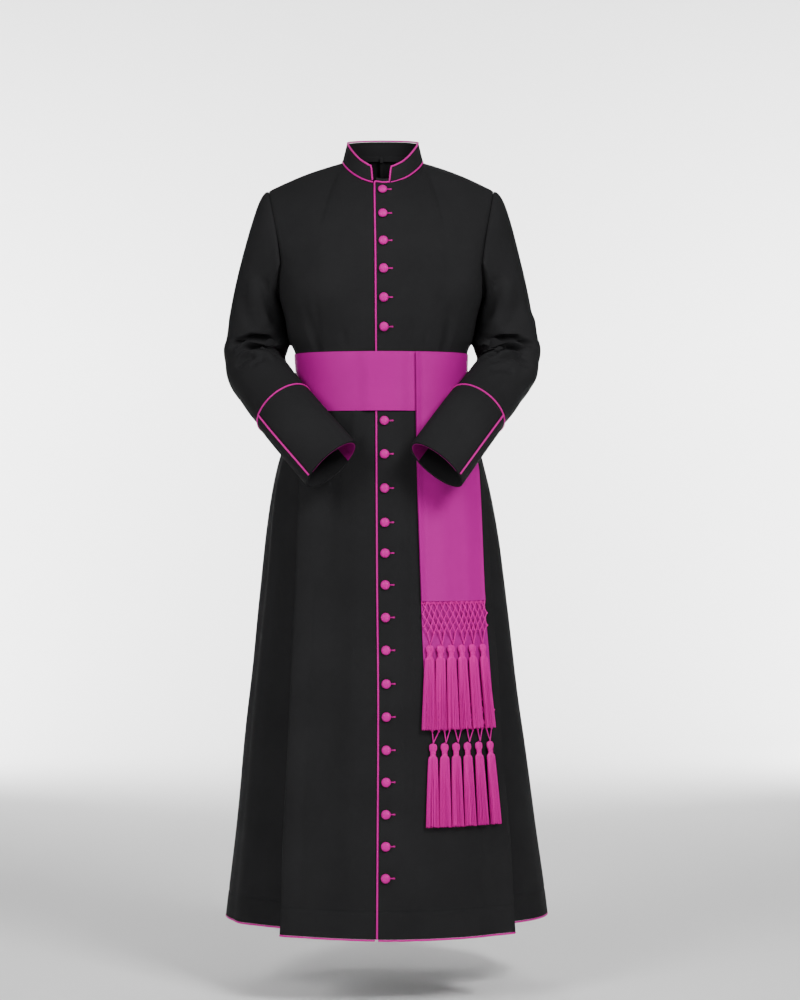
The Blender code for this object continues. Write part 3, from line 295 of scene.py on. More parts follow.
def column_turn(side, column, z):
    """Where a column of cloth stands round the body at height z."""
    ridge, seam, tail = (read_level(SIDE_FOLDS[side], z, name)
                         for name in ("ridge", "seam", "tail"))
    stops = ((0, centre_turn(side, z)), (RIDGE, ridge), (SIDE_SEAM, seam), (TAIL, tail),
             (CENTRE_BACK, 180.0))
    turn = stops[0][1] + np.zeros(np.broadcast(column, z).shape)
    for (first, start), (last, end) in zip(stops, stops[1:]):
        share = np.clip((column - first) / (last - first), 0.0, 1.0)
        turn = np.where(column >= first, start + (end - start) * share, turn)
    return turn


def top_edge(side, column):
    """The neckline or shoulder seam at the top of a column, and the pull of its arc there."""
    is_front = column <= (RIDGE + TAIL) / 2
    steps = np.clip(np.where(is_front, column, CENTRE_BACK - column), 0.0, RIDGE)
    facing = np.where(is_front, 1.0, -1.0)
    round_neck = np.clip(steps / NECK, 0.0, 1.0)
    angle = np.radians(90.0 * round_neck)
    depth = np.where(is_front, NECK_FRONT, NECK_BACK)
    rise = np.where(is_front, -NECK_DROP, NECK_RISE)
    cosine = np.maximum(np.cos(angle), 0.0)
    curve = np.where(is_front, NECK_CURVE, 1.0)
    neck = points_of(side * NECK_WIDE * np.sin(angle), depth * cosine, rise * cosine ** curve)
    neck_pull = points_of(0.0, facing * (NECK_OVER + NECK_OVER_MORE * round_neck),
                          NECK_UP * (1.0 - round_neck))
    share = np.clip((steps - NECK) / (RIDGE - NECK), 0.0, 1.0)
    tip = np.array((side * SHOULDER_TIP[0] + UPPER_CENTRE_X, 0.0, SHOULDER_TIP[2]))
    base = np.array((side * NECK_WIDE, 0.0, 0.0))
    shoulder = base + (tip - base) * share[..., None]
    shoulder[..., 2] += SHOULDER_CROWN * np.sin(np.pi * share)
    pull = points_of(0.0, facing * (SHOULDER_OVER - SHOULDER_OVER_LESS * share), 0.0)
    on_neck = (steps <= NECK)[..., None]
    return np.where(on_neck, neck, shoulder), np.where(on_neck, neck_pull, pull)


def plain_cloth(side, column, drop):
    """A place on the cloth. drop is 0 at the top edge, 1 level with the armhole's foot, 2 at the
    chest line and then 1 more for each metre below it."""
    span = np.where(column < SIDE_SEAM, SIDE_SEAM - RIDGE, TAIL - SIDE_SEAM)
    away = np.clip(np.abs(column - SIDE_SEAM) / span, 0.0, 1.0)
    base = UNDERARM + (ARMHOLE_BASE - UNDERARM) * away ** ARMHOLE_HOLLOW
    z = np.where(drop <= 1.0, base,
                 np.where(drop <= 2.0, base + (CHEST - base) * (drop - 1.0), CHEST - drop + 2.0))
    low = body_place(side, column_turn(side, column, z), z)
    foot = base - RISE_STEP
    below = body_place(side, column_turn(side, column, foot), foot)
    end, pull = top_edge(side, column)
    rise = unit(low - below) * (end[..., 2:] - low[..., 2:]) * RISE_PULL
    high = hermite(low, rise, end, pull, 1.0 - np.clip(drop, 0.0, 1.0)[..., None])
    return np.where((drop < 1.0)[..., None], high, low)


def lapped(side, column, drop):
    """plain_cloth, carried on past the centre front to the lap's edge at column -1."""
    inside = plain_cloth(side, np.maximum(column, 0.0), drop)
    beyond = plain_cloth(-side, np.ones_like(column), drop)
    reach = LAP_OVER if side > 0 else LAP_UNDER
    run = (beyond - inside) * (reach / np.maximum(np.abs(beyond - inside)[..., :1], THIN))
    return inside + run * np.clip(-column, 0.0, 1.0)[..., None]


def facing_out(side, column, drop):
    """The outward direction, from the cloth a little to each side."""
    low, high = column - ASIDE, column + ASIDE
    above = drop < 1.0
    high = np.where(above & (column <= RIDGE), np.minimum(high, RIDGE), high)
    low = np.where(above & (column >= TAIL), np.maximum(low, TAIL), low)
    high = np.minimum(high, CENTRE_BACK)
    across = lapped(side, high, drop) - lapped(side, low, drop)
    over_hole = (column > RIDGE) & (column < TAIL) & (drop >= 1.0)
    up = np.where(over_hole, np.maximum(drop - ABOVE, 1.0), np.maximum(drop - ABOVE, 0.0))
    down = lapped(side, column, drop + ABOVE) - lapped(side, column, up)
    outward = np.cross(down, across) * side
    outward[np.isclose(column, 0.0) | np.isclose(column, CENTRE_BACK), 0] = 0.0
    at_shoulder = np.isclose(drop, 0.0) & (column >= NECK) & (column <= CENTRE_BACK - NECK)
    outward[at_shoulder, 1] = 0.0
    return unit(outward)


# ---- creases and the cloth's small unevenness ----
# Each crease is a soft trough (out < 0) or ridge along a run of (x, z) places, on the front (-1)
# or the back (+1) of the garment.
Crease = namedtuple("Crease", "facing run width out")
# The share of its length over which each end of a crease fades, though not quite to nothing.
CREASE_FADE, CREASE_STUB = 0.22, 0.12
TURNED_AWAY, TURNED_TO = 0.05, 0.5           # how the cloth has to face to be creased
DENT_ACROSS, DENT_DOWN = 0.7, 0.45           # under 1, so dents stretch across and down
DENT_SHARE, DENT_INWARDS = 0.7, 0.1


def crease_height(creases, points, outward):
    height = np.zeros(points.shape[:-1])
    for crease in creases:
        run = np.array(crease.run)
        lengths = np.linalg.norm(np.diff(run, axis=0), axis=1)
        total, before = lengths.sum(), 0.0
        nearest = np.full(height.shape, 1.0)
        along = np.zeros(height.shape)
        for start, end, length in zip(run, run[1:], lengths):
            away = points[..., (0, 2)] - start
            share = np.clip(away @ (end - start) / length ** 2, 0.0, 1.0)
            distance = np.linalg.norm(away - share[..., None] * (end - start), axis=-1)
            along = np.where(distance < nearest, (before + share * length) / total, along)
            nearest = np.minimum(nearest, distance)
            before += length
        taper = ease(np.minimum(along, 1.0 - along) / CREASE_FADE + CREASE_STUB)
        faces = ease((outward[..., 1] * crease.facing + TURNED_AWAY) / TURNED_TO)
        height += crease.out * bump(nearest, crease.width) * taper * faces
    return height


def unevenness(points, size, depth):
    """Shallow dips and rises, a little more inwards than outwards."""
    flat = points.reshape(-1, 3)
    found = np.array([noise.noise(Vector((x * DENT_ACROSS, y, z * DENT_DOWN)) / size)
                      for x, y, z in flat])
    return (found.reshape(points.shape[:-1]) * DENT_SHARE - DENT_INWARDS) * depth


# ---- materials ----
Look = namedtuple("Look", "material slot")
PATCHES = 9.0                                # broad patches of tone to the metre
PATCH_SHARE, RIB_SHARE, GRAIN_SHARE = 0.55, 0.35, 0.25
GRAIN_HEIGHT, RELIEF_STRENGTH, RELIEF_DEPTH = 0.8, 0.35, 0.0003
TWILL_PITCH, FAILLE_PITCH = 0.0015, 0.0011
STREAK_SHARE = 0.0009                        # of a cord's length, which its map counts as 1


def colour(code):
    """Linear colour from an sRGB hex code."""
    parts = [int(code[start:start + 2], 16) / 255.0 for start in (0, 2, 4)]
    return (*(p / 12.92 if p <= 0.04045 else ((p + 0.055) / 1.055) ** 2.4 for p in parts), 1.0)


def add(tree, kind, inputs=None, **settings):
    """Add one shader node; an input is a value or another node's output."""
    made = tree.nodes.new(kind)
    for name, value in settings.items():
        setattr(made, name, value)
    for name, value in (inputs or {}).items():
        if isinstance(value, bpy.types.NodeSocket):
            tree.links.new(value, made.inputs[name])
        else:
            made.inputs[name].default_value = value
    return made


def sum_of(tree, first, second, operation="ADD"):
    return add(tree, "ShaderNodeMath", {0: first, 1: second}, operation=operation).outputs[0]


def ribs(tree, across, pitch):
    """A soft wave, 0 to 1, that repeats at each pitch along a map."""
    turns = sum_of(tree, across, 2.0 * math.pi / pitch, "MULTIPLY")
    wave = add(tree, "ShaderNodeMath", {0: turns}, operation="SINE").outputs[0]
    return add(tree, "ShaderNodeMapRange", {"Value": wave, "From Min": -1.0}).outputs["Result"]


def twill(tree, across, down):
    # Ribs of real worsted are well under 1 mm apart; these are 1.5 mm apart along the cloth and
    # 1.1 mm straight across, or they would not be seen.
    return ribs(tree, sum_of(tree, across, down), TWILL_PITCH)


def faille(tree, _, down):
    # Real faille has about two ribs to the millimetre; these are 1.1 mm, or they would not show.
    return ribs(tree, down, FAILLE_PITCH)


def streaks(tree, across, _):
    # The tone changes slightly some 1,100 times along a cord; a button has no map and no streaks.
    return ribs(tree, across, STREAK_SHARE)


def cloth_look(name, slot, dark, light, roughness, specular, weave, grain):
    """A cloth that varies softly between two colours; weave(tree, u, v) gives its relief."""
    material = bpy.data.materials.new(name)
    material.use_nodes = True
    tree = material.node_tree
    shader = tree.nodes["Principled BSDF"]
    place = add(tree, "ShaderNodeTexCoord")
    uv = add(tree, "ShaderNodeSeparateXYZ", {"Vector": place.outputs["UV"]})
    broad = add(tree, "ShaderNodeTexNoise", {"Vector": place.outputs["Object"],
                                             "Scale": PATCHES, "Detail": 3.0})
    fine = add(tree, "ShaderNodeTexNoise", {"Vector": place.outputs["Object"], "Scale": grain,
                                            "Detail": 2.0})
    relief = weave(tree, uv.outputs["X"], uv.outputs["Y"])
    share = sum_of(tree, sum_of(tree, broad.outputs["Fac"], PATCH_SHARE, "MULTIPLY"),
                   sum_of(tree, relief, RIB_SHARE, "MULTIPLY"))
    share = sum_of(tree, share, sum_of(tree, fine.outputs["Fac"], GRAIN_SHARE, "MULTIPLY"))
    tone = add(tree, "ShaderNodeMixRGB",
               {"Fac": share, "Color1": colour(dark), "Color2": colour(light)})
    tree.links.new(tone.outputs["Color"], shader.inputs["Base Color"])
    height = sum_of(tree, relief, sum_of(tree, fine.outputs["Fac"], GRAIN_HEIGHT, "MULTIPLY"))
    bend = add(tree, "ShaderNodeBump", {"Height": height, "Strength": RELIEF_STRENGTH,
                                        "Distance": RELIEF_DEPTH})
    tree.links.new(bend.outputs["Normal"], shader.inputs["Normal"])
    shader.inputs["Roughness"].default_value = roughness
    shader.inputs["Specular IOR Level"].default_value = specular
    return Look(material, slot)


# Worsted wool, woven in a twill and pressed: nearly black and matt, with a faint slanting rib.
WORSTED = cloth_look("black worsted twill", "black_worsted", "161617", "272728", 0.8, 0.05,
                     twill, 900.0)
# Silk cut on the bias and folded over a cord: a bright line with a soft light along its top.
PIPING = cloth_look("magenta bias piping", "magenta_piping", "b20080", "cc0094", 0.5, 0.12,
                    streaks, 1500.0)
# Silk faille, woven with low ribs across: an even magenta with a broad, quiet shine.
FAILLE = cloth_look("magenta silk faille", "magenta_silk", "9a007a", "b00088", 0.55, 0.12,
                    faille, 1200.0)
# Twisted silk cord and thread: magenta, painted lighter than the silk for the light each thread
# catches; dark between the threads.
LIT_CORD = cloth_look("magenta silk cord", "magenta_cord", "c2008a", "e400a6", 0.48, 0.12,
                  streaks, 1800.0)
# Silk drawn tight over a button mould: smooth, with a small soft light on the dome.
COVERED = cloth_look("magenta button silk", "button_silk", "b0007e", "cc0094", 0.42, 0.15,
                     streaks, 1500.0)
# The cuffs' silk facing, seen only in their shade, with that shade painted into its colour: darker
# and flatter than the sash.
SHADED_FACING = cloth_look("magenta facing silk", "magenta_piping", "74005a", "8a0068", 0.6, 0.08,
                   faille, 1200.0)


# ---- building pieces ----
SHARP_EDGE = math.radians(50.0)


def run_length(points, axis):
    """Length along one way of a grid of points, from 0 at its start."""
    steps = np.linalg.norm(np.diff(points, axis=axis), axis=-1)
    start = np.zeros_like(np.take(steps, [0], axis=axis))
    return np.cumsum(np.concatenate((start, steps), axis=axis), axis=axis)


def put(name, data, look):
    """Set a piece in its place.

    Its name is its node's with one word more, as collar_cloth is for collar. A name of one word
    has no node.
    """
    data.materials.append(look.material)
    piece = bpy.data.objects.new(name, data)
    bpy.context.scene.collection.objects.link(piece)
    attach(piece, "root")
    node = name.rpartition("_")[0]
    if node:
        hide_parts(node)


def put_mesh(name, mesh, look, sharp=None):
    data = bpy.data.meshes.new(name)
    mesh.to_mesh(data)
    mesh.free()
    data.shade_smooth()
    if sharp:
        data.set_sharp_from_angle(angle=sharp)
    put(name, data, look)


def skin(name, outer, inner, look, closed=False, hole=None, u=None, v=None):
    """A wall of cloth between two grids of points, rows by columns by three.

    closed joins the last column to the first; hole(row, column) says which cells are left open.
    u and v are the map's lengths across and down, measured on the outer grid unless given.
    """
    rows, columns = outer.shape[0] - 1, outer.shape[1] - 1
    u = run_length(outer, 1) if u is None else u
    v = run_length(outer, 0) if v is None else v
    mesh = bmesh.new()
    bmesh.ops.create_grid(mesh, x_segments=columns, y_segments=rows, size=0.5)
    layer = mesh.verts.layers.int
    row, column, is_inner = layer.new("row"), layer.new("column"), layer.new("inner")
    for vert in mesh.verts:
        vert[column] = round((vert.co.x + 0.5) * columns)
        vert[row] = round((0.5 - vert.co.y) * rows)
    if hole:
        gone = [face for face in mesh.faces if hole(min(vert[row] for vert in face.verts),
                                                    min(vert[column] for vert in face.verts))]
        bmesh.ops.delete(mesh, geom=gone, context="FACES")
    uv = mesh.loops.layers.uv.new("UVMap")
    for face in mesh.faces:
        for loop in face.loops:
            key = loop.vert[row], loop.vert[column]
            loop[uv].uv = (u[key], v[key])
    if closed:
        for vert in mesh.verts:
            vert[column] %= columns
            vert.co = outer[vert[row], vert[column]]
        bmesh.ops.remove_doubles(mesh, verts=mesh.verts[:], dist=THIN)
    made = bmesh.ops.extrude_face_region(mesh, geom=mesh.faces[:])
    for vert in made["geom"]:
        if isinstance(vert, bmesh.types.BMVert):
            vert[is_inner] = 1
    for vert in mesh.verts:
        grid = inner if vert[is_inner] else outer
        vert.co = grid[vert[row], vert[column]]
    bmesh.ops.recalc_face_normals(mesh, faces=mesh.faces[:])
    if mesh.calc_volume(signed=True) < 0.0:
        bmesh.ops.reverse_faces(mesh, faces=mesh.faces[:])
    put_mesh(name, mesh, look, SHARP_EDGE)


def cords(name, paths, radius, look, closed=False, sides=0):
    """One piece of round cords, each along its own run of points."""
    data = bpy.data.curves.new(name, "CURVE")
    data.dimensions = "3D"
    data.bevel_depth = radius
    data.bevel_resolution = sides
    data.use_fill_caps = not closed
    for path in paths:
        spline = data.splines.new("POLY")
        spline.points.add(len(path) - 1)
        flat = np.ones((len(path), 4))
        flat[:, :3] = path
        spline.points.foreach_set("co", flat.ravel())
        spline.use_cyclic_u = closed
        spline.use_smooth = True
    put(name, data, look)


def piping(node, path, radius, closed=False):
    cords(f"{node}_cord", [path], radius, PIPING, closed, sides=3)


def tube_outward(points, side):
    """Outward directions of a closed grid whose columns run round and whose rows run down."""
    around = np.roll(points, -1, axis=1) - np.roll(points, 1, axis=1)
    return unit(np.cross(np.gradient(points, axis=0), around) * side)


# ---- fronts and backs ----
FINE = 6                  # fine columns to one of the construction's
CREASES = (
    Crease(-1, ((-0.29, -0.361), (-0.279, -0.345), (-0.25, -0.3372), (-0.225, -0.3392),
                (-0.193, -0.353)), 0.0085, -0.0154),
    Crease(-1, ((-0.285, -0.372), (-0.26, -0.348), (-0.23, -0.347), (-0.208, -0.354)),
           0.007, 0.0072),
    Crease(-1, ((-0.264, -0.359), (-0.24, -0.3565), (-0.215, -0.36), (-0.186, -0.372)),
           0.0075, -0.0154),
    Crease(-1, ((-0.276, -0.376), (-0.254, -0.365), (-0.225, -0.368), (-0.2, -0.379)),
           0.008, 0.0064),
    Crease(-1, ((-0.278, -0.396), (-0.262, -0.379), (-0.24, -0.373)), 0.008, -0.0072),
    Crease(-1, ((-0.246, -0.396), (-0.24, -0.384), (-0.222, -0.379)), 0.007, -0.0054),
    Crease(-1, ((0.188, -0.359), (0.204, -0.347), (0.228, -0.339), (0.256, -0.3385),
                (0.288, -0.356)), 0.0085, -0.0154),
    Crease(-1, ((0.196, -0.362), (0.22, -0.35), (0.25, -0.348), (0.275, -0.36)), 0.0065, 0.0069),
    Crease(-1, ((0.185, -0.376), (0.207, -0.367), (0.227, -0.359), (0.248, -0.357), (0.27, -0.365)),
           0.0075, -0.0154),
    Crease(-1, ((0.215, -0.372), (0.24, -0.366), (0.264, -0.372)), 0.007, 0.0064),
    Crease(-1, ((0.198, -0.386), (0.22, -0.378), (0.248, -0.373), (0.282, -0.396)), 0.008, -0.0088),
    Crease(-1, ((0.2, -0.402), (0.226, -0.398), (0.25, -0.406)), 0.008, -0.0045),
    Crease(-1, ((0.278, -0.28), (0.29, -0.33), (0.293, -0.366), (0.286, -0.41), (0.274, -0.44)),
           0.028, 0.0085),
    Crease(-1, ((-0.256, -0.215), (-0.239, -0.27), (-0.218, -0.326)), 0.02, 0.005),
    Crease(-1, ((-0.23, -0.22), (-0.215, -0.275), (-0.203, -0.32)), 0.014, -0.0045),
    Crease(-1, ((-0.27, -0.25), (-0.264, -0.29), (-0.246, -0.325)), 0.014, -0.003),
    Crease(-1, ((0.248, -0.225), (0.23, -0.275), (0.208, -0.325)), 0.02, 0.005),
    Crease(-1, ((0.222, -0.215), (0.209, -0.265), (0.199, -0.31)), 0.014, -0.0045),
    Crease(-1, ((0.264, -0.26), (0.252, -0.3), (0.23, -0.327)), 0.013, -0.003),
    Crease(-1, ((-0.148, -0.56), (-0.16, -0.95), (-0.178, -1.46)), 0.03, 0.0045),
    Crease(-1, ((-0.085, -0.54), (-0.095, -0.95), (-0.105, -1.46)), 0.045, -0.006),
    Crease(-1, ((0.196, -1.18), (0.203, -1.3), (0.208, -1.46)), 0.026, 0.004),
    Crease(-1, ((0.105, -1.26), (0.112, -1.46)), 0.05, -0.0045),
    Crease(1, ((-0.19, -0.23), (-0.18, -0.3), (-0.177, -0.356)), 0.026, 0.017),
    Crease(1, ((0.184, -0.23), (0.175, -0.3), (0.173, -0.356)), 0.026, 0.017),
    Crease(-1, ((-0.126, -0.273), (-0.1203, -0.3572)), 0.012, -0.0022),
    Crease(-1, ((0.1265, -0.273), (0.119, -0.3572)), 0.012, -0.0022),
    Crease(-1, ((-0.076, -0.325), (-0.069, -0.364)), 0.01, -0.0018),
    Crease(-1, ((0.085, -0.33), (0.08, -0.364)), 0.011, -0.0016),
    Crease(-1, ((-0.179, -0.09), (-0.15, -0.18), (-0.162, -0.24)), 0.04, -0.004),
    Crease(-1, ((0.176, -0.09), (0.148, -0.18), (0.16, -0.24)), 0.04, -0.004),
    Crease(-1, ((-0.09, -0.485), (-0.102, -0.62), (-0.112, -0.82)), 0.028, -0.0035),
    Crease(-1, ((-0.04, -0.485), (-0.044, -0.56)), 0.012, -0.0022),
    Crease(-1, ((0.035, -0.485), (0.038, -0.545)), 0.01, -0.0018),
    Crease(1, ((-0.27, -0.345), (-0.24, -0.33), (-0.205, -0.342)), 0.012, -0.0045),
    Crease(1, ((-0.275, -0.385), (-0.243, -0.372), (-0.212, -0.38)), 0.01, -0.0035),
    Crease(1, ((0.272, -0.35), (0.236, -0.335), (0.204, -0.346)), 0.012, -0.0045),
    Crease(1, ((0.268, -0.392), (0.24, -0.376), (0.208, -0.387)), 0.01, -0.0035),
    Crease(1, ((-0.165, -0.13), (-0.15, -0.22), (-0.156, -0.3)), 0.032, -0.0045),
    Crease(1, ((0.162, -0.13), (0.148, -0.215), (0.153, -0.31)), 0.032, -0.0045),
    Crease(1, ((-0.062, -0.3), (-0.056, -0.364)), 0.013, -0.003),
    Crease(1, ((0.07, -0.29), (0.061, -0.364)), 0.013, -0.003),
    Crease(1, ((0.026, -0.315), (0.023, -0.364)), 0.01, -0.002),
)

# Rows of a panel: down to the armhole's foot, the chest line, the hips, the stitching above the
# hem, across the stitching, and on to the hem.
ARMHOLE_ROWS, CHEST_ROWS, HIP_ROWS, SKIRT_ROWS, STITCH_ROWS, HEM_ROWS = 43, 9, 44, 70, 9, 5
HIPS, STITCH_BAND, STITCH_CLEAR = 0.26, 0.005, 0.009
EDGE_COLUMN = 0.06                           # one more column this far inside each edge
SEAM_DITCH, STITCH_DITCH, DITCH_WIDE = 0.0013, 0.0008, 0.0045
DENT_SIZE, DENT_DEPTH = 0.085, 0.005
# Where no crease or dent comes: beside the neck, the lap, the sash and the falls.
NECK_CALM, DENT_CALM, LAP_CALM = 0.25, 0.2, 1.5
SASH_CALM, SASH_FADE, SASH_DENT_CALM, SASH_DENT_FADE = 0.05, 0.012, 0.055, 0.06
FALL_FROM, FALL_TO, FALL_FADE = 0.05, 0.2, 0.02


def panel_drops():
    stitched = CHEST - HEM - STITCH_UP
    return np.concatenate((
        np.linspace(0.0, 1.0, ARMHOLE_ROWS)[:-1], np.linspace(1.0, 2.0, CHEST_ROWS)[:-1],
        2.0 + np.linspace(0.0, HIPS, HIP_ROWS)[:-1],
        2.0 + HIPS + np.linspace(0.0, stitched - HIPS - STITCH_BAND, SKIRT_ROWS)[:-1],
        2.0 + stitched + np.linspace(-STITCH_BAND, STITCH_BAND, STITCH_ROWS),
        2.0 + stitched + np.linspace(STITCH_CLEAR, STITCH_UP, HEM_ROWS)))


def panel_columns(first, last):
    columns = set(np.round(np.linspace(first, last, (last - first) * FINE + 1), 6))
    near = {first + EDGE_COLUMN, last - EDGE_COLUMN, RIDGE - EDGE_COLUMN, TAIL + EDGE_COLUMN}
    return np.array(sorted(columns | {c for c in near if first < c < last}))


def ditch_height(column, drop, z, u, v, is_back):
    """A shallow ditch along every seam, and along the row of stitches above the hem."""
    away = np.minimum(u, u[:, -1:] - u) if is_back else u[:, -1:] - u
    shoulder = (column >= NECK) & (column <= CENTRE_BACK - NECK)
    away = np.where(shoulder, np.minimum(away, v), away)
    edge = TAIL if is_back else RIDGE
    at_edge = u[:, [int(np.argmin(np.abs(column[0] - edge)))]]
    away = np.where(drop <= 1.0, np.minimum(away, np.abs(u - at_edge)), away)
    under = (column > RIDGE) & (column < TAIL) & (drop >= 1.0)
    foot = v[[int(np.argmin(np.abs(drop[:, 0] - 1.0)))], :]
    away = np.where(under, np.minimum(away, np.abs(v - foot)), away)
    height = -SEAM_DITCH * bump(away, DITCH_WIDE)
    return height - STITCH_DITCH * bump(z - HEM - STITCH_UP, DITCH_WIDE)


def soft_height(side, column, drop, points, outward):
    """Creases and dents, but none at the neck, beside the lap, or under the sash and its falls."""
    x, z = points[..., 0], points[..., 2]
    calm = ease(drop / NECK_CALM) * ease((column - 1.0) / LAP_CALM)
    if side > 0:
        under_fall = ease((x - FALL_FROM) / FALL_FADE) * ease((FALL_TO - x) / FALL_FADE)
        calm = calm * (1.0 - under_fall * (z < SASH_BOTTOM) * (points[..., 1] < 0.0))
    from_sash = np.abs(z - (SASH_TOP + SASH_BOTTOM) / 2)
    creased = crease_height(CREASES, points, outward) * ease((from_sash - SASH_CALM) / SASH_FADE)
    dents = unevenness(points, DENT_SIZE, DENT_DEPTH) * ease(drop / DENT_CALM)
    return (creased + dents * ease((from_sash - SASH_DENT_CALM) / SASH_DENT_FADE)) * calm


def panel_form(side, first, last):
    """One panel's outer face: columns, drops, points, outward directions, heights and lengths."""
    column, drop = np.meshgrid(panel_columns(first, last), panel_drops())
    points = lapped(side, column, drop)
    outward = facing_out(side, np.maximum(column, 0.0), drop)
    u, v = run_length(points, 1), run_length(points, 0)
    if side < 0:
        points = points - outward * (UNDERLAP_SINK * np.clip(-column, 0.0, 1.0))[..., None]
    height = ditch_height(column, drop, points[..., 2], u, v, first >= SIDE_SEAM)
    height = height + soft_height(side, column, drop, points, outward)
    if side > 0:
        height = height + LAP_RISE * (1.0 - ease(column - 1.0))
    return column, drop, points, outward, height, u, v


def doubled(grid):
    """A grid with its first row twice more before it."""
    return np.concatenate((grid[:1], grid[:1], grid))


def body_panel(name, side, first, last):
    column, drop, points, outward, lift, u, v = panel_form(side, first, last)
    is_back = first >= SIDE_SEAM
    shift = np.zeros_like(points)
    for at, index, beside in ((first, 0, 1), (last, -1, -2)):
        if at > 0:
            shift[:, index] += unit(points[:, beside] - points[:, index]) * SEAM / 2
    on_neck = (column[0] < NECK) | (column[0] > CENTRE_BACK - NECK)
    shift[0] += unit(points[1] - points[0]) * (SEAM / 2) * ~on_neck[:, None]
    outer = points + outward * lift[..., None] + shift
    inner = points + outward * (lift - CLOTH)[..., None] + shift

    # Seam allowances, turned in at the neck and shoulder and passed behind the next piece.
    pushed = doubled(outward * ALLOWANCE_SINK)
    full = [doubled(grid) for grid in (outer, inner, column, drop, u, v)]
    reach = unit(outer[0] - outer[1]) * ALLOWANCE
    inwards = unit(outer[0] * (1, 1, 0)) * -ALLOWANCE_SINK
    reach = np.where(on_neck[:, None], UP * NECK_ALLOWANCE + inwards / 2, reach)
    sunk = np.where(on_neck[:, None], -inwards, pushed[0])
    passes = column[0] >= (1.0 if side < 0 or is_back else -1.0)
    if not is_back:
        passes = passes & (column[0] < NECK)
    for grid in full[:2]:
        grid[1] -= sunk
        grid[0] -= sunk - reach * passes[:, None]
    if is_back:
        for index, beside in ((0, 1),) if side < 0 else ((0, 1), (-1, -2)):
            beyond = doubled(unit(full[0][2:, [index]] - full[0][2:, [beside]]) * ALLOWANCE)
            edge = [grid[:, [index]] for grid in full]
            turned = [grid - pushed[:, [index]] for grid in edge[:2]] + edge[2:]
            under = [grid + beyond for grid in turned[:2]] + edge[2:]
            for at, grid in enumerate(full):
                run = (under[at], turned[at], grid) if index == 0 else (grid, turned[at], under[at])
                full[at] = np.concatenate(run, axis=1)
    outside, inside, columns, drops, u, v = full
    open_rows = drops[1:, 0] <= 1.0 + THIN
    middles = (columns[0, :-1] + columns[0, 1:]) / 2
    open_columns = (middles > RIDGE) & (middles < TAIL)
    skin(f"{name}_cloth", outside, inside, WORSTED,
         hole=lambda r, c: open_rows[r] and open_columns[c], u=u, v=v)
    return column, outer, inner


# ---- sleeves and cuffs ----
ArmFold = namedtuple("ArmFold", "row angle rows spread out")
ARM_FOLDS = (
    ArmFold(7.0, 120.0, 1.2, 60.0, -0.007),
    ArmFold(9.0, 140.0, 1.0, 55.0, -0.009),
    ArmFold(8.0, 125.0, 0.8, 55.0, 0.004),
    ArmFold(11.0, 135.0, 1.0, 50.0, -0.006),
    ArmFold(10.0, 250.0, 1.0, 50.0, -0.005),
    ArmFold(7.0, 180.0, 1.9, 48.0, 0.0052),
    ArmFold(8.2, 5.0, 2.0, 60.0, 0.0042),
)
CAP_FINE_ROWS, ARM_FINE_ROWS, SMOOTH_ROWS = 40, (12, 26, 24, 20, 28), 7
# How hard the sleeve head's cloth is pulled out and down, over the arm, beside it and under it,
# where it leaves the armhole and where it comes down on the arm.
OUT_OVER, OUT_BESIDE, OUT_ROUND = 0.075, 0.05, 0.02
DOWN_OVER, DOWN_BESIDE, DOWN_UNDER = 0.03, 0.05, 0.02
ARM_OUT, ARM_OVER, ARM_BESIDE, ARM_UNDER = 0.045, 0.25, 0.13, 0.035
ROPE_AT, HEAD_DITCH = 0.2, 0.0014            # the roped head, and the ditch of its seam
SLEEVE_DENT_SIZE, SLEEVE_DENT_DEPTH = 0.06, 0.0035
HEAD_CALM, CUFF_CALM = 1.5, 2.0              # rows over which creases and dents fade at each end


def armhole_edge(side):
    """The armhole's edge, closed, from the shoulder tip down its front and up its back."""
    spans, down = ARMHOLE_ROWS - 1, np.linspace(0.0, 1.0, ARMHOLE_ROWS)
    columns = np.concatenate((np.full(ARMHOLE_ROWS, RIDGE),
                              np.linspace(RIDGE, TAIL, ARMHOLE_ROWS)[1:], np.full(spans, TAIL)))
    drops = np.concatenate((down, np.ones(spans), down[::-1][1:]))
    points = plain_cloth(side, columns, drops) + np.array((side * SET_IN, 0.0, 0.0))
    lengths = run_length(points, 0)
    foot = lengths[spans + round(spans * (SIDE_SEAM - RIDGE) / (TAIL - RIDGE))]
    angles = np.where(lengths <= foot, 180.0 * lengths / foot,
                      180.0 + 180.0 * (lengths - foot) / (lengths[-1] - foot))
    return points, angles


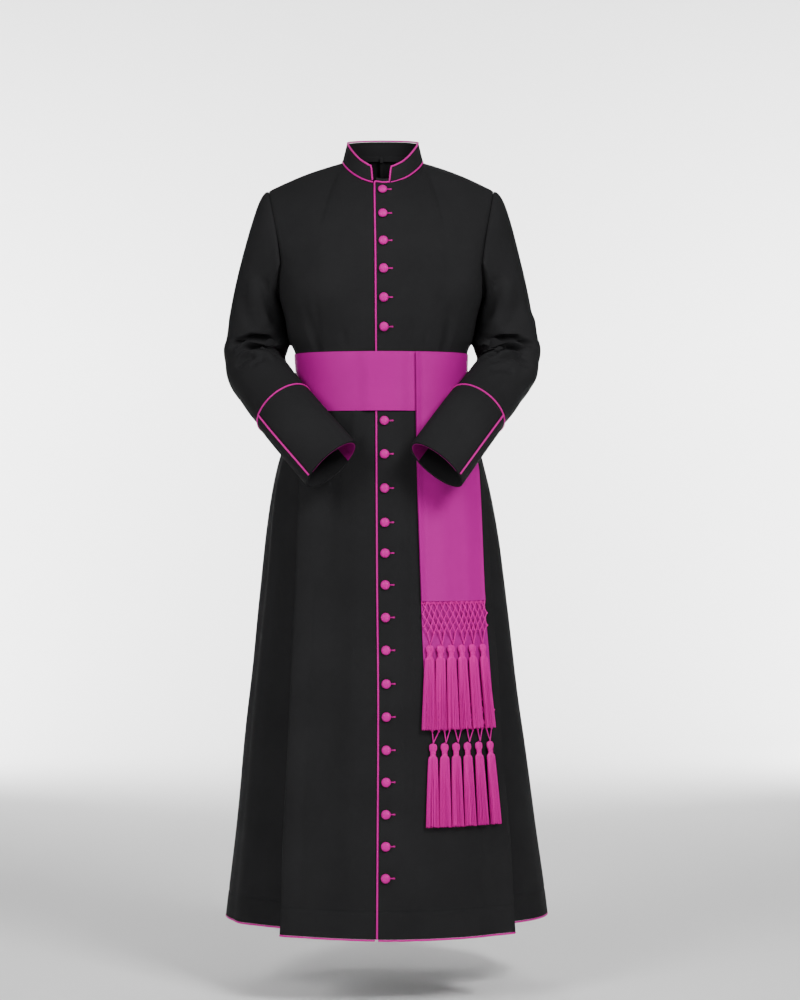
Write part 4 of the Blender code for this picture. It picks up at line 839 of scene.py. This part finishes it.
def arm_line(side):
    """Rows down the arm from the biceps: row number, centre, frame and half sizes."""
    stops = np.array([(side * stop.x + UPPER_CENTRE_X, stop.y, stop.z) for stop in ARM])
    stops[-1, 0] = side * SLEEVE_END_X[side] + UPPER_CENTRE_X
    legs = np.diff(stops, axis=0)
    steps = np.linalg.norm(legs, axis=1)
    pulls = [np.array((0.0, 0.0, -1.0))]
    for i in range(1, len(stops) - 1):
        pulls.append((legs[i - 1] / steps[i - 1] * steps[i] + legs[i] / steps[i] * steps[i - 1])
                     / (steps[i] + steps[i - 1]))
    pulls.append(legs[-1] / steps[-1])
    numbers, centres = [], []
    for i, count in enumerate(ARM_FINE_ROWS):
        is_last = i == len(ARM_FINE_ROWS) - 1
        for share in np.linspace(0.0, 1.0, count + 1)[:None if is_last else -1]:
            centres.append(hermite(stops[i], pulls[i] * steps[i], stops[i + 1],
                                   pulls[i + 1] * steps[i], share))
            numbers.append(CAP_ROWS + sum(ARM_STEPS[:i]) + share * ARM_STEPS[i])
    numbers, centres = np.array(numbers), np.array(centres)
    stations = CAP_ROWS + np.cumsum((0,) + ARM_STEPS)
    sizes = []
    for size in ("half_long", "half_short"):
        values = np.interp(numbers, stations, [getattr(stop, size) for stop in ARM])
        padded = np.pad(values, SMOOTH_ROWS // 2, mode="edge")
        sizes.append(np.convolve(padded, np.ones(SMOOTH_ROWS) / SMOOTH_ROWS, mode="valid"))
    along = np.gradient(centres, axis=0)
    along[0] = (0.0, 0.0, -1.0)
    along = unit(along)
    outer, outers = np.array((side, 0.0, 0.0)), []
    for direction in along:
        outer = outer - direction * (outer @ direction)
        outer = outer / np.linalg.norm(outer)
        outers.append(outer)
    outers = np.array(outers)
    return numbers, centres, outers, np.cross(along, outers) * side, sizes


def sleeve_rings(side, angles):
    numbers, centres, outers, fronts, (half_long, half_short) = arm_line(side)
    turned, axis = np.radians(angles - LONG_AXIS)[None, :, None], math.radians(LONG_AXIS)
    long_way = outers * math.cos(axis) + fronts * math.sin(axis)
    short_way = fronts * math.cos(axis) - outers * math.sin(axis)
    spoke = (long_way[:, None] * half_long[:, None, None] * np.cos(turned)
             + short_way[:, None] * half_short[:, None, None] * np.sin(turned))
    height = np.zeros(spoke.shape[:2])
    for fold in ARM_FOLDS:
        away = np.abs((angles - fold.angle + 180.0) % 360.0 - 180.0)
        height += (fold.out * bump(numbers - fold.row, fold.rows)[:, None]
                   * bump(away, fold.spread)[None])
    return numbers, centres[:, None] + spoke + unit(spoke) * height[..., None]


def sleeve_form(side):
    """Row numbers, points and outward directions of a sleeve's outer face."""
    start, angles = armhole_edge(side)
    numbers, rings = sleeve_rings(side, angles)
    sine, cosine = np.sin(np.radians(angles)), np.cos(np.radians(angles))
    over, under, beside = np.maximum(cosine, 0.0), np.maximum(-cosine, 0.0), np.abs(sine)
    start_pull = points_of(side * (OUT_OVER * over + OUT_BESIDE * beside), -OUT_ROUND * sine,
                           -DOWN_OVER * over - DOWN_BESIDE * beside - DOWN_UNDER * under)
    end_pull = points_of(side * ARM_OUT * over, 0.0,
                         -ARM_OVER * over - ARM_BESIDE * beside - ARM_UNDER * under)
    share = np.linspace(0.0, 1.0, CAP_FINE_ROWS + 1)[:-1, None, None]
    cap = hermite(start[None], start_pull[None], rings[:1], end_pull[None], share)
    cap[..., 2] += ROPE_LIFT * over * bump(share[..., 0] - ROPE_AT, ROPE_AT)
    points = np.concatenate((cap, rings))
    points[:, -1] = points[:, 0]
    numbers = np.concatenate((share[:, 0, 0] * CAP_ROWS, numbers))
    outward = tube_outward(points[:, :-1], -side)
    outward = np.concatenate((outward, outward[:, :1]), axis=1)
    height = crease_height(CREASES, points, outward)
    height += unevenness(points, SLEEVE_DENT_SIZE, SLEEVE_DENT_DEPTH)
    calm = ease(numbers / HEAD_CALM) * ease((CUFF_ROW + 1.0 - numbers) / CUFF_CALM)
    height = height * calm[:, None] - HEAD_DITCH * bump(run_length(points, 0), DITCH_WIDE)
    height[:, -1] = height[:, 0]
    return numbers, points + outward * height[..., None], outward


def sleeve_set(side, hand):
    """A sleeve with its turned-back cuff, facing and piping."""
    numbers, points, outward = sleeve_form(side)
    u, v = run_length(points, 1), run_length(points, 0)
    # The sleeve's seam allowance turns in through the armhole, behind the body's edge.
    turned = points[:1] - outward[:1] * ALLOWANCE_SINK
    under = turned - np.array((side * ALLOWANCE, 0.0, 0.0))
    outer = np.concatenate((under, turned, points))
    skin(f"sleeve_{hand}_cloth", outer, outer - doubled(outward) * CLOTH, WORSTED, closed=True,
         u=doubled(u), v=np.concatenate((v[:1] - 2 * ALLOWANCE, v[:1] - ALLOWANCE, v)))

    first = int(np.argmin(np.abs(numbers - CUFF_ROW)))
    low, out = points[first:], outward[first:]
    skin(f"cuff_{hand}_cloth", low + out * (SEAM + CUFF), low + out * SEAM, WORSTED,
         closed=True, u=u[first:], v=v[first:])

    # The facing's silk has the cuff's shade painted into its colour.
    edge = int(np.argmin(np.abs(numbers - (SLEEVE_ROWS - 1))))
    ring = slice(FACING_FIRST * FINE, (FACING_FIRST + FACING_COLUMNS) * FINE + 1)
    low, out = points[edge:, ring], outward[edge:, ring]
    skin(f"cuff_facing_{hand}_silk", low - out * (CLOTH + SEAM),
         low - out * (CLOTH + SEAM + FACING), SHADED_FACING)

    lift = TRIM_CORD + SEAM
    back = unit(points[first - 1] - points[first])
    piping(f"cuff_piping_{hand}", (points[first] + back * lift + outward[first] * lift)[:-1],
           TRIM_CORD, closed=True)
    at = round((CUFF_SEAM + 0.5) * FINE)
    piping(f"cuff_seam_piping_{hand}",
           points[first:, at] + outward[first:, at] * (CUFF + SEAM + lift), TRIM_CORD)


# ---- collar and its piping ----
QUARTER_COLUMNS, COLLAR_ROWS, END_POINTS, LAP_POINTS = 25, 13, 7, 4
SIDE_FROM, SIDE_OVER, FRONT_LEAN = 0.4, 0.6, 0.6
SLANT_COLUMNS = 4.0                          # columns over which a front end slants
END_FOOT, END_TOP = 0.03, 0.86               # shares of the height that an end's piping runs
LAP_CLEAR = 0.0052                           # how far short of the lap's edge the neck's piping stops


def neck_column(x):
    return NECK * math.degrees(math.asin(abs(x) / NECK_WIDE)) / 90.0


def neck_path():
    """The neckline from the collar's right front end round the back to its left front end."""
    fronts = [np.linspace(neck_column(x), NECK, QUARTER_COLUMNS)
              for x in (COLLAR_RIGHT_END, COLLAR_LEFT_END)]
    backs = np.linspace(CENTRE_BACK - NECK, CENTRE_BACK, QUARTER_COLUMNS)
    return np.concatenate((
        top_edge(-1, fronts[0])[0], top_edge(-1, backs)[0][1:],
        top_edge(1, backs[::-1])[0][1:], top_edge(1, fronts[1][::-1])[0][1:]))


def steepness(path):
    run = np.gradient(path, axis=0)
    flat = np.linalg.norm(run[:, :2], axis=1, keepdims=True)
    return np.linalg.norm(run, axis=1, keepdims=True) / flat


def collar_form(path, share):
    """A line round the collar's outer face: share 0 is its foot and 1 its top."""
    along = np.gradient(path, axis=0)
    outward = unit(points_of(-along[:, 1], along[:, 0], 0.0))
    away = np.where(path[:, 1] < 0.0, np.abs(path[:, 0]) / NECK_WIDE, 1.0)
    side_share = ease((away - SIDE_FROM) / SIDE_OVER)[:, None]
    foot = (2 * TRIM_CORD + NECK_CORD_GAP + SEAM) * steepness(path)
    height = COLLAR_FRONT_HEIGHT + (COLLAR_SIDE_HEIGHT - COLLAR_FRONT_HEIGHT) * side_share
    lean = (FRONT_LEAN + (1.0 - FRONT_LEAN) * side_share) * COLLAR_LEAN * share
    ends = np.minimum(np.arange(len(path)), np.arange(len(path))[::-1])
    slant = COLLAR_SLANT * share * bump(ends, SLANT_COLUMNS)
    slant = unit(along * (1, 1, 0)) * slant[:, None]
    slant[len(path) // 2:] *= -1.0
    return path + UP * (foot + height * share) - outward * lean + slant, outward


def collar_set():
    path = neck_path()
    rows = [collar_form(path, share) for share in np.linspace(1.0, 0.0, COLLAR_ROWS)]
    outer, outward = (np.array(grids) for grids in zip(*rows))
    skin("collar_cloth", outer, outer - outward * COLLAR, WORSTED)

    to_lap = np.linspace(neck_column(-LAP_OVER - LAP_CLEAR), neck_column(COLLAR_RIGHT_END),
                         LAP_POINTS)[:-1]
    seam = np.concatenate((top_edge(-1, to_lap)[0], path))
    piping("neckline_piping", seam + UP * (TRIM_CORD + NECK_CORD_GAP) * steepness(seam),
           TRIM_CORD)
    off = TRIM_CORD + SEAM
    ends = []
    for index, beside in ((0, 1), (-1, -2)):
        end = []
        for share in np.linspace(END_FOOT, END_TOP, END_POINTS):
            point, outward = collar_form(path, share)
            step = unit(point[beside] * (1, 1, 0) - point[index] * (1, 1, 0))
            end.append(point[index] - step * off - outward[index] * COLLAR / 2)
        ends.append(end)
    top, outward = collar_form(path, 1.0)
    top = top - outward * COLLAR / 2 + UP * off * steepness(top)
    for index, beside in ((0, 1), (-1, -2)):
        top[index] += unit(top[index] - top[beside]) * off * 0.5
    piping("collar_piping", np.concatenate((ends[0], top, ends[1][::-1])), TRIM_CORD)


# ---- edges of the body ----
LAP_TOP_POINTS, LAP_TOP_END, CORNER_POINTS = 6, -0.6, 7
LAP_TOP_START = 0.0015                       # the lap's top starts this near the collar's end


def front_edge():
    """Along the top of the left front's lap, round its corner and down its edge to the hem."""
    drops = panel_drops()
    off, above = EDGE_CORD + SEAM, UP * (EDGE_CORD + NECK_CORD_GAP)
    zero = np.zeros_like(drops)
    outward = facing_out(1, zero, drops)
    down = lapped(1, zero - 1.0, drops) + outward * off - np.array((off, 0.0, 0.0))
    down[0] += above
    columns = np.linspace(neck_column(COLLAR_LEFT_END - LAP_TOP_START), LAP_TOP_END,
                          LAP_TOP_POINTS)
    across = lapped(1, columns, np.zeros_like(columns)) + above
    across = across + outward[0] * (LAP_RISE - CLOTH / 2)
    near, far = (down[0] + (end - down[0]) * 0.5 for end in (across[-1], down[1]))
    share = np.linspace(0.0, 1.0, CORNER_POINTS)[:, None]
    corner = (1.0 - share) ** 2 * near + 2.0 * share * (1.0 - share) * down[0] + share ** 2 * far
    return np.concatenate((across, corner, down[1:]))


# ---- sash, falls and nets ----
BAND_ROWS, BAND_COLUMNS, BAND_TUCK, TUCK_ROWS = 20, 5, 0.0005, 1.5


def sash_band():
    """The band, worked round from the centre front by the wearer's left side."""
    columns = np.linspace(0.0, CENTRE_BACK, CENTRE_BACK * BAND_COLUMNS + 1)
    column, z = np.meshgrid(columns, np.linspace(SASH_TOP, SASH_BOTTOM, BAND_ROWS))
    halves = []
    for side in (1, -1):
        turn = column_turn(side, column, z)
        out = ring_outward(side, turn, z)
        out[:, 0], out[:, -1] = (0.0, -1.0, 0.0), (0.0, 1.0, 0.0)
        rise = BAND_LAYER + BAND_OVER_LAP * (1.0 - ease(column - 1.0))
        halves.append((body_place(side, turn, z) + out * rise[..., None], out))
    base, out = (np.concatenate((left, right[:, ::-1][:, 1:]), axis=1)
                 for left, right in zip(*halves))
    # Each long edge is turned in and pressed, so the band is a little thinner there.
    edge = np.minimum(np.arange(BAND_ROWS), np.arange(BAND_ROWS)[::-1])
    outer = base + out * (BAND - BAND_TUCK * bump(edge, TUCK_ROWS)[:, None, None])
    skin("sash_band_silk", outer, base, FAILLE, closed=True)


def turn_at(x, z):
    """The angle round the body, on the wearer's left, of a place x across at height z."""
    share = (x - read_level(LEVELS, z, "centre_x")) / read_level(LEVELS, z, "half_width")
    power = read_level(LEVELS, z, "square") / 2.0
    return np.degrees(np.arcsin(np.clip(share, 0.0, 1.0) ** power))


def fall_place(across, z, out):
    start = turn_at(read_level(FALL, z, "left_x"), z)
    end = turn_at(read_level(FALL, z, "right_x"), z)
    turn = start + (end - start) * across
    return body_place(1, turn, z) + ring_outward(1, turn, z) * np.asarray(out)[..., None]


FALL_ROWS, FALL_COLUMNS = 80, 37
SELVEDGE, SELVEDGE_WIDE, FALL_HEM, FALL_HEM_DEEP = 0.0006, 0.06, 0.0003, 0.012
STAND_OFF, STAND_OFF_WIDE = 0.0026, 0.08
# Long soft waves down the silk: where across the fall, how it drifts, width, depth and start.
Wave = namedtuple("Wave", "across drift wide out grow")
FALL_WAVES = (Wave(0.30, 0.10, 0.16, 0.0011, 0.08), Wave(0.72, -0.05, 0.13, 0.0008, 0.1))
WAVE_LEVEL = 0.6


def fall(node, top, bottom, layer):
    across, z = np.meshgrid(np.linspace(0.0, 1.0, FALL_COLUMNS),
                            np.linspace(top, bottom, FALL_ROWS))
    lift = layer + SELVEDGE * bump(np.minimum(across, 1.0 - across), SELVEDGE_WIDE)
    lift = lift + FALL_HEM * bump(z - bottom, FALL_HEM_DEEP)
    if layer == OVER_LAYER:
        # Its front edge stands off the band, and its waves rise away from what lies beneath.
        lift = lift + STAND_OFF * bump(across, STAND_OFF_WIDE)
        for wave in FALL_WAVES:
            place = across - wave.across + wave.drift * (z + WAVE_LEVEL)
            grown = ease((SASH_BOTTOM - z) / wave.grow)
            lift = lift + wave.out * bump(place, wave.wide) * grown
    skin(f"{node}_silk", fall_place(across, z, lift + SILK), fall_place(across, z, lift), FAILLE)


# The net: half as wide a mesh as the tassels' spacing, its half meshes down, and the share of
# its drop that they take before the cords gather.
NET_SPANS, NET_STEPS, NET_SHARE = 12, 5, 0.72
NET_THREAD, NET_LIFT, NET_OUT, NET_CLEAR = 0.00105, 0.001, 0.0052, 0.0003
NET_DRAWN, NET_DRAWN_SIDES = 0.018, 3.4      # how far the net's sides draw in
NET_UNEVEN, UNEVEN_ACROSS, UNEVEN_DOWN = 0.13, 5.3, 3.7
CROSSING = 0.0007                            # how far each cord moves aside where two cross
KNOT_WIDE, KNOT_HIGH, KNOT_OUT, KNOT_POINTS = 0.0085, 0.013, 0.0011, 7
HEADING_POINTS, HEADING_TOP, HEADING_DEEP, HEADING_OUT = 42, 0.0005, 0.0045, 0.0008


def net(node, top, layer, row):
    """Crossing cords, knotted where they meet, that gather by fours above each tassel."""
    drop = NET_DROP - NET_CLEAR
    foot_left = read_level(FALL, top - drop, "left_x")
    foot_width = read_level(FALL, top - drop, "right_x") - foot_left

    def knot(level, place):
        """Across and down the net; it draws its sides in, and its knots stand unevenly."""
        if level > NET_STEPS:
            head = row.head_x + place // 2 * row.head_pitch
            return (head - foot_left) / foot_width, 1.0
        drawn = NET_DRAWN * level / NET_STEPS
        inside = min(place, NET_SPANS - place, level, 1.0)
        uneven = NET_UNEVEN * inside * math.sin(UNEVEN_ACROSS * place + UNEVEN_DOWN * level)
        return (drawn + (1.0 - NET_DRAWN_SIDES * drawn) * (place + uneven) / NET_SPANS,
                NET_SHARE * (level + 0.5 * uneven) / NET_STEPS)

    def at(across, down, lift):
        bow = NET_OUT * np.sin(math.pi * down)
        return fall_place(across, top - drop * down, layer + NET_LIFT + bow + lift)

    paths, met = [], set()
    for start in range(NET_SPANS + 1):
        for way in (-1, 1):
            if not 0 <= start + way <= NET_SPANS:
                continue
            place, turned, spots = float(start), way, []
            for level in range(NET_STEPS + 1):
                spots.append(knot(level, place))
                met.add((level, place))
                if not 0.0 <= place + turned * 0.5 <= NET_SPANS:
                    turned = -turned
                place += turned * 0.5 if level < NET_STEPS else 0.0
            spots.append(knot(NET_STEPS + 1, place))
            spans = len(spots) - 1
            fine = np.linspace(0.0, spans, 3 * spans + 1)
            across, down = (np.interp(fine, range(spans + 1), run) for run in zip(*spots))
            paths.append(at(across, down, CROSSING * way * np.cos(math.pi * fine) ** 2))
    turn = np.linspace(0.0, 2.0 * math.pi, KNOT_POINTS)
    for level, place in sorted(met):
        across, down = knot(level, place)
        if level:
            paths.append(at(across + KNOT_WIDE * np.cos(turn), down + KNOT_HIGH * np.sin(turn),
                            KNOT_OUT))
    # Its cords are worked into the fall's foot with a close zigzag.
    across = np.linspace(0.0, 1.0, HEADING_POINTS)
    for shift in (0, 1):
        z = top - HEADING_TOP - HEADING_DEEP * ((np.arange(HEADING_POINTS) + shift) % 2)
        paths.append(fall_place(across, z, np.full(HEADING_POINTS, layer + HEADING_OUT)))
    cords(f"{node}_cord", paths, NET_THREAD, LIT_CORD)


# ---- tassels ----
# Depth below the head's top and half width: the ball, the bound neck and the shoulder.
HEAD_OUTLINE = (
    (0.0, 0.0018), (0.001, 0.005), (0.0032, 0.0067), (0.0062, 0.0071), (0.0095, 0.007),
    (0.012, 0.0062), (0.0136, 0.0051), (0.0146, 0.0047), (0.0222, 0.0048), (0.0236, 0.006),
    (0.025, 0.0075), (0.0285, 0.0086),
)
SHOULDER, SHOULDER_WIDE = HEAD_OUTLINE[-1]
SKIRT_TOP, SKIRT_POINTS = 0.045, 6
SKIRT_MIDDLE, SKIRT_MIDDLE_WIDE, SKIRT_END_WIDE = 0.06, 0.0098, 0.0116
THREAD, OUTER_THREADS, INNER_THREADS, INNER_RING, INNER_SHORT = 0.00046, 58, 28, 0.82, 0.006
UNEVEN_TURN, UNEVEN_END, SWAY, BEND, LOOSE_OVER = 0.35, 0.0035, 0.07, 0.0003, 0.08
BALL, SPREAD = 0.0073, 0.008                 # how far the head and the skirt reach out
BOUND_TOP, BOUND_END, BOUND_WIDE, BOUND_TURNS, TURN_POINTS = 0.0148, 0.0222, 0.0052, 8, 12
LOOP_POINTS, LOOP_HIGH, LOOP_WIDE = 9, 0.0016, 0.0013


def tassel_end(row, x, z, out):
    """One end of a tassel's middle line, and the way out from the cloth there."""
    x, z = np.array([x]), np.array([z])
    turn = turn_at(x, z)
    away = ring_outward(1, turn, z)[0]
    return body_place(1, turn, z)[0] + away * (row.layer + out), away


def tassel(row, index, shuffle):
    """Threads over a ball, bound at the neck and hanging loose below it."""
    head, _ = tassel_end(row, row.head_x + index * row.head_pitch, row.top,
                         BALL * TASSEL_FLAT + SEAM)
    tip, away = tassel_end(row, row.tip_x + index * row.tip_pitch, row.tip,
                           SPREAD * TASSEL_SPREAD * TASSEL_FLAT + SEAM)
    length = np.linalg.norm(tip - head)
    up = (head - tip) / length
    depth = unit(away - up * (away @ up))
    across = np.cross(depth, up)
    depths, widths = np.array(HEAD_OUTLINE).T

    def place(down, side, front):
        down, side, front = (np.asarray(run)[:, None] for run in (down, side, front))
        return head - up * down + across * side + depth * front

    paths = []
    for ring, count in ((1.0, OUTER_THREADS), (INNER_RING, INNER_THREADS)):
        for number in range(count):
            turn = number + shuffle.uniform(-UNEVEN_TURN, UNEVEN_TURN)
            angle = 2.0 * math.pi * turn / count
            end = length - shuffle.uniform(0.0, UNEVEN_END) - (1.0 - ring) * INNER_SHORT
            skirt = np.linspace(SKIRT_TOP, end, SKIRT_POINTS)
            down = np.concatenate((depths, skirt))
            wide = np.concatenate((widths, np.interp(
                skirt, (SHOULDER, SKIRT_MIDDLE, length),
                (SHOULDER_WIDE, SKIRT_MIDDLE_WIDE, SKIRT_END_WIDE))))
            loose = ease((down - SHOULDER) / LOOSE_OVER)
            angle = angle + shuffle.uniform(-SWAY, SWAY) * loose
            wide = wide * ring + shuffle.uniform(-BEND, BEND) * loose
            paths.append(place(down, np.cos(angle) * wide, np.sin(angle) * wide * TASSEL_FLAT))
    turns = np.linspace(0.0, 2.0 * math.pi * BOUND_TURNS, BOUND_TURNS * TURN_POINTS + 1)
    paths.append(place(np.linspace(BOUND_TOP, BOUND_END, turns.size), np.cos(turns) * BOUND_WIDE,
                       np.sin(turns) * BOUND_WIDE * TASSEL_FLAT))
    loop = np.linspace(0.0, math.pi, LOOP_POINTS)
    paths.append(place(-np.sin(loop) * LOOP_HIGH, np.cos(loop) * LOOP_WIDE, 0.0 * loop))
    cords(f"tassel_{row.name}_{index + 1}_threads", paths, THREAD, LIT_CORD)


# ---- buttons and buttonholes ----
BUTTON_SIDES, BUTTON_RINGS, DOME, UNDERCUT = 28, 16, 0.62, 0.25
HOLE_FROM, HOLE_TO, STITCH_PITCH = 0.003, 0.0163, 0.0008
HOLE_HALF, BAR_MORE, BAR_AT, BAR_WIDE = 0.0011, 0.0006, 0.0158, 0.0022
BAR_START, BAR_TURN, BAR_HALF = 0.0166, 0.0172, 0.0012
STITCH_FOOT, STITCH_TOP, BAR_TOP, STITCH_THREAD = 0.0002, 0.0008, 0.0006, 0.00042
BUTTON_STAND = 0.006                         # how far off the front the middle of a button stands
NEAR_COLUMNS = 60                            # columns of the front that the holes may lie on


def centre_front():
    drops = panel_drops()
    return plain_cloth(1, np.zeros_like(drops), drops)


def on_centre(line, heights):
    """x, y and the slope of y on the centre front line at some heights."""
    slopes = np.gradient(line[:, 1]) / np.gradient(line[:, 2])
    return [np.interp(-heights, -line[:, 2], run) for run in (line[:, 0], line[:, 1], slopes)]


def button(number, z, line):
    """One domed button covered in silk, sewn on the centre line."""
    x, y, slope = on_centre(line, z)
    away = Vector((0.0, -1.0, slope)).normalized()
    place = Vector((x, y, z)) + away * (LAP_RISE + SEAM)
    mesh = bmesh.new()
    bmesh.ops.create_uvsphere(mesh, u_segments=BUTTON_SIDES, v_segments=BUTTON_RINGS, radius=1.0)
    for vert in mesh.verts:
        up = vert.co.z
        rise = (DOME if up > 0.0 else 1.0 - DOME) * up
        wide = BUTTON_RADIUS * (1.0 if up > 0.0 else 1.0 - UNDERCUT * up ** 2)
        vert.co = (vert.co.x * wide, vert.co.y * wide, BUTTON_HEIGHT * (1.0 - DOME + rise))
    turn = away.to_track_quat("Z", "Y").to_matrix().to_4x4()
    bmesh.ops.transform(mesh, matrix=Matrix.Translation(place) @ turn, verts=mesh.verts[:])
    put_mesh(f"button_{number:02d}_silk", mesh, COVERED)


def on_cloth(outer, across, heights, out):
    """Places on a panel's outer face, given their x and z."""
    found = []
    for x, height in zip(across, heights):
        y, z = (np.array([np.interp(x, row[:, 0], row[:, axis])
                          for row in outer[:, :NEAR_COLUMNS]]) for axis in (1, 2))
        found.append(np.interp(-height, -z, y))
    return points_of(across, np.array(found) - out, heights)


def buttonholes(outer, line):
    """Close stitches over each slit, level with its button, and a round bar at its outer end."""
    heights, paths = np.array(BUTTON_LEVELS), []
    slope = on_centre(line, heights)[2]
    heights = heights + slope / np.hypot(slope, 1.0) * BUTTON_STAND
    middle = on_centre(line, heights)[0]

    def stitch(reaches, half, top):
        places = [on_cloth(outer, middle + reach, heights + up * half, out) for reach, up, out
                  in zip(reaches, (1, 0, -1), (STITCH_FOOT, top, STITCH_FOOT))]
        paths.extend(np.array(points) for points in zip(*places))

    for reach in np.arange(HOLE_FROM, HOLE_TO, STITCH_PITCH):
        stitch([reach] * 3, HOLE_HALF + BAR_MORE * bump(reach - BAR_AT, BAR_WIDE), STITCH_TOP)
    stitch((BAR_START, BAR_TURN, BAR_START), BAR_HALF, BAR_TOP)
    cords("buttonholes", paths, STITCH_THREAD, PIPING)


# ---- the whole cassock ----
BEFORE_LAP = 2.0          # half widths of piping that the right hem's own ends before the lap
REAR_FALL_DOWN = 0.001    # how far below the band the rear fall starts
SEED = 7


def dress():
    feet, fronts = {}, {}
    for side, hand in ((1, "left"), (-1, "right")):
        for part, first, last in (("front", -1, SIDE_SEAM), ("back", SIDE_SEAM, CENTRE_BACK)):
            column, outer, inner = body_panel(f"{part}_{hand}", side, first, last)
            shown = column[0] >= -1.0
            if side < 0 and part == "front":
                lap_edge = CENTRE_FRONT[-1].x - LAP_OVER - BEFORE_LAP * (EDGE_CORD + SEAM)
                shown = shown & (outer[-1, :, 0] < lap_edge)
            foot = (outer[-1, shown] + inner[-1, shown]) / 2 - UP * (EDGE_CORD + SEAM)
            feet[hand, part] = foot[::side]
            fronts[hand, part] = outer
        sleeve_set(side, hand)
    collar_set()
    piping("front_edge_piping", front_edge(), EDGE_CORD)
    hem = [feet["left", "front"]]
    hem += [feet[key][1:] for key in (("left", "back"), ("right", "back"), ("right", "front"))]
    piping("hem_piping", np.concatenate(hem), EDGE_CORD)
    sash_band()
    fall("fall_front", SASH_TOP, FRONT_FALL_END, OVER_LAYER)
    fall("fall_rear", SASH_BOTTOM - REAR_FALL_DOWN, REAR_FALL_END, UNDER_LAYER)
    net("net_front", FRONT_FALL_END - SEAM, OVER_LAYER, TASSEL_ROWS[0])
    net("net_rear", REAR_FALL_END - SEAM, UNDER_LAYER, TASSEL_ROWS[1])
    shuffle = random.Random(SEED)
    for row in TASSEL_ROWS:
        for index in range(TASSELS):
            tassel(row, index, shuffle)
    line = centre_front()
    for number, z in enumerate(BUTTON_LEVELS, 1):
        button(number, z, line)
    buttonholes(fronts["left", "front"], line)


# ---- a record of the cloth as it was cut, which no piece here is given ----
# Widest and longest in metres, and the flat area of what shows in square metres.
Cut = namedtuple("Cut", "piece width length area held rests_on")


# ---- floor, lights and camera ----
FLOOR, WALL, TURN, TURN_STEPS = -1.58, 6.6, 1.6, 16
SWEEP_NEAR, SWEEP_TOP, SWEEP_HALF = -6.0, 6.0, 8.0
PAPER, PAPER_ROUGHNESS, ROOM_LIGHT = "f4f4f4", 0.9, 0.16
MIDDLE = (0.0, 0.0, -0.7)
SoftLight = namedtuple("SoftLight", "name place target wide high watts")
LIGHTS = (
    SoftLight("key light", (2.0, -3.0, 1.7), MIDDLE, 1.2, 1.4, 165.0),
    SoftLight("fill light", (-2.3, -3.2, 1.2), MIDDLE, 1.4, 2.0, 110.0),
    SoftLight("wall light left", (-2.7, 4.0, -0.3), (-1.2, WALL, -0.5), 1.0, 2.6, 330.0),
    SoftLight("floor light", (0.0, 3.4, 2.2), (0.0, 4.4, FLOOR), 3.0, 1.6, 70.0),
    SoftLight("wall light right", (2.7, 4.0, -0.3), (1.2, WALL, -0.5), 1.0, 2.6, 330.0),
)
CAMERA_PLACE, CAMERA_LENS, CAMERA_FILM, CAMERA_REACH = (0.033, -5.0, -0.647), 93.75, 36.0, 100.0


def stand(name, data, place=(0.0, 0.0, 0.0)):
    piece = bpy.data.objects.new(name, data)
    piece.location = place
    bpy.context.scene.collection.objects.link(piece)
    return piece


def sweep():
    """A pale floor that curves up into a pale wall."""
    start = WALL - TURN
    profile = [(SWEEP_NEAR, FLOOR), (start, FLOOR)]
    profile += [(start + TURN * math.sin(a), FLOOR + TURN * (1.0 - math.cos(a)))
                for a in np.linspace(0.0, math.pi / 2, TURN_STEPS + 1)[1:]]
    profile.append((WALL, SWEEP_TOP))
    mesh = bmesh.new()
    bmesh.ops.create_grid(mesh, x_segments=1, y_segments=len(profile) - 1, size=1.0)
    steps = sorted({round(vert.co.y, 5) for vert in mesh.verts})
    for vert in mesh.verts:
        y, z = profile[steps.index(round(vert.co.y, 5))]
        vert.co = (vert.co.x * SWEEP_HALF, y, z)
    data = bpy.data.meshes.new("floor")
    mesh.to_mesh(data)
    mesh.free()
    data.shade_smooth()
    # Matt white paper: no shine, only a soft shadow.
    paper = bpy.data.materials.new("white paper")
    paper.use_nodes = True
    shader = paper.node_tree.nodes["Principled BSDF"]
    shader.inputs["Base Color"].default_value = colour(PAPER)
    shader.inputs["Roughness"].default_value = PAPER_ROUGHNESS
    data.materials.append(paper)
    stand("floor", data)


def studio():
    sweep()
    world = bpy.data.worlds.new("pale room")
    world.use_nodes = True
    sky = world.node_tree.nodes["Background"]
    sky.inputs["Color"].default_value = (1.0, 1.0, 1.0, 1.0)
    sky.inputs["Strength"].default_value = ROOM_LIGHT
    bpy.context.scene.world = world
    for light in LIGHTS:
        data = bpy.data.lights.new(light.name, "AREA")
        data.shape, data.size, data.size_y = "RECTANGLE", light.wide, light.high
        data.energy = light.watts
        aim = Vector(light.target) - Vector(light.place)
        turn = aim.to_track_quat("-Z", "Y").to_euler()
        stand(light.name, data, light.place).rotation_euler = turn
    data = bpy.data.cameras.new("camera")
    data.lens, data.sensor_width, data.clip_end = CAMERA_LENS, CAMERA_FILM, CAMERA_REACH
    camera = stand("camera", data, CAMERA_PLACE)
    camera.rotation_euler = (math.pi / 2, 0.0, 0.0)
    bpy.context.scene.camera = camera


studio()
dress()
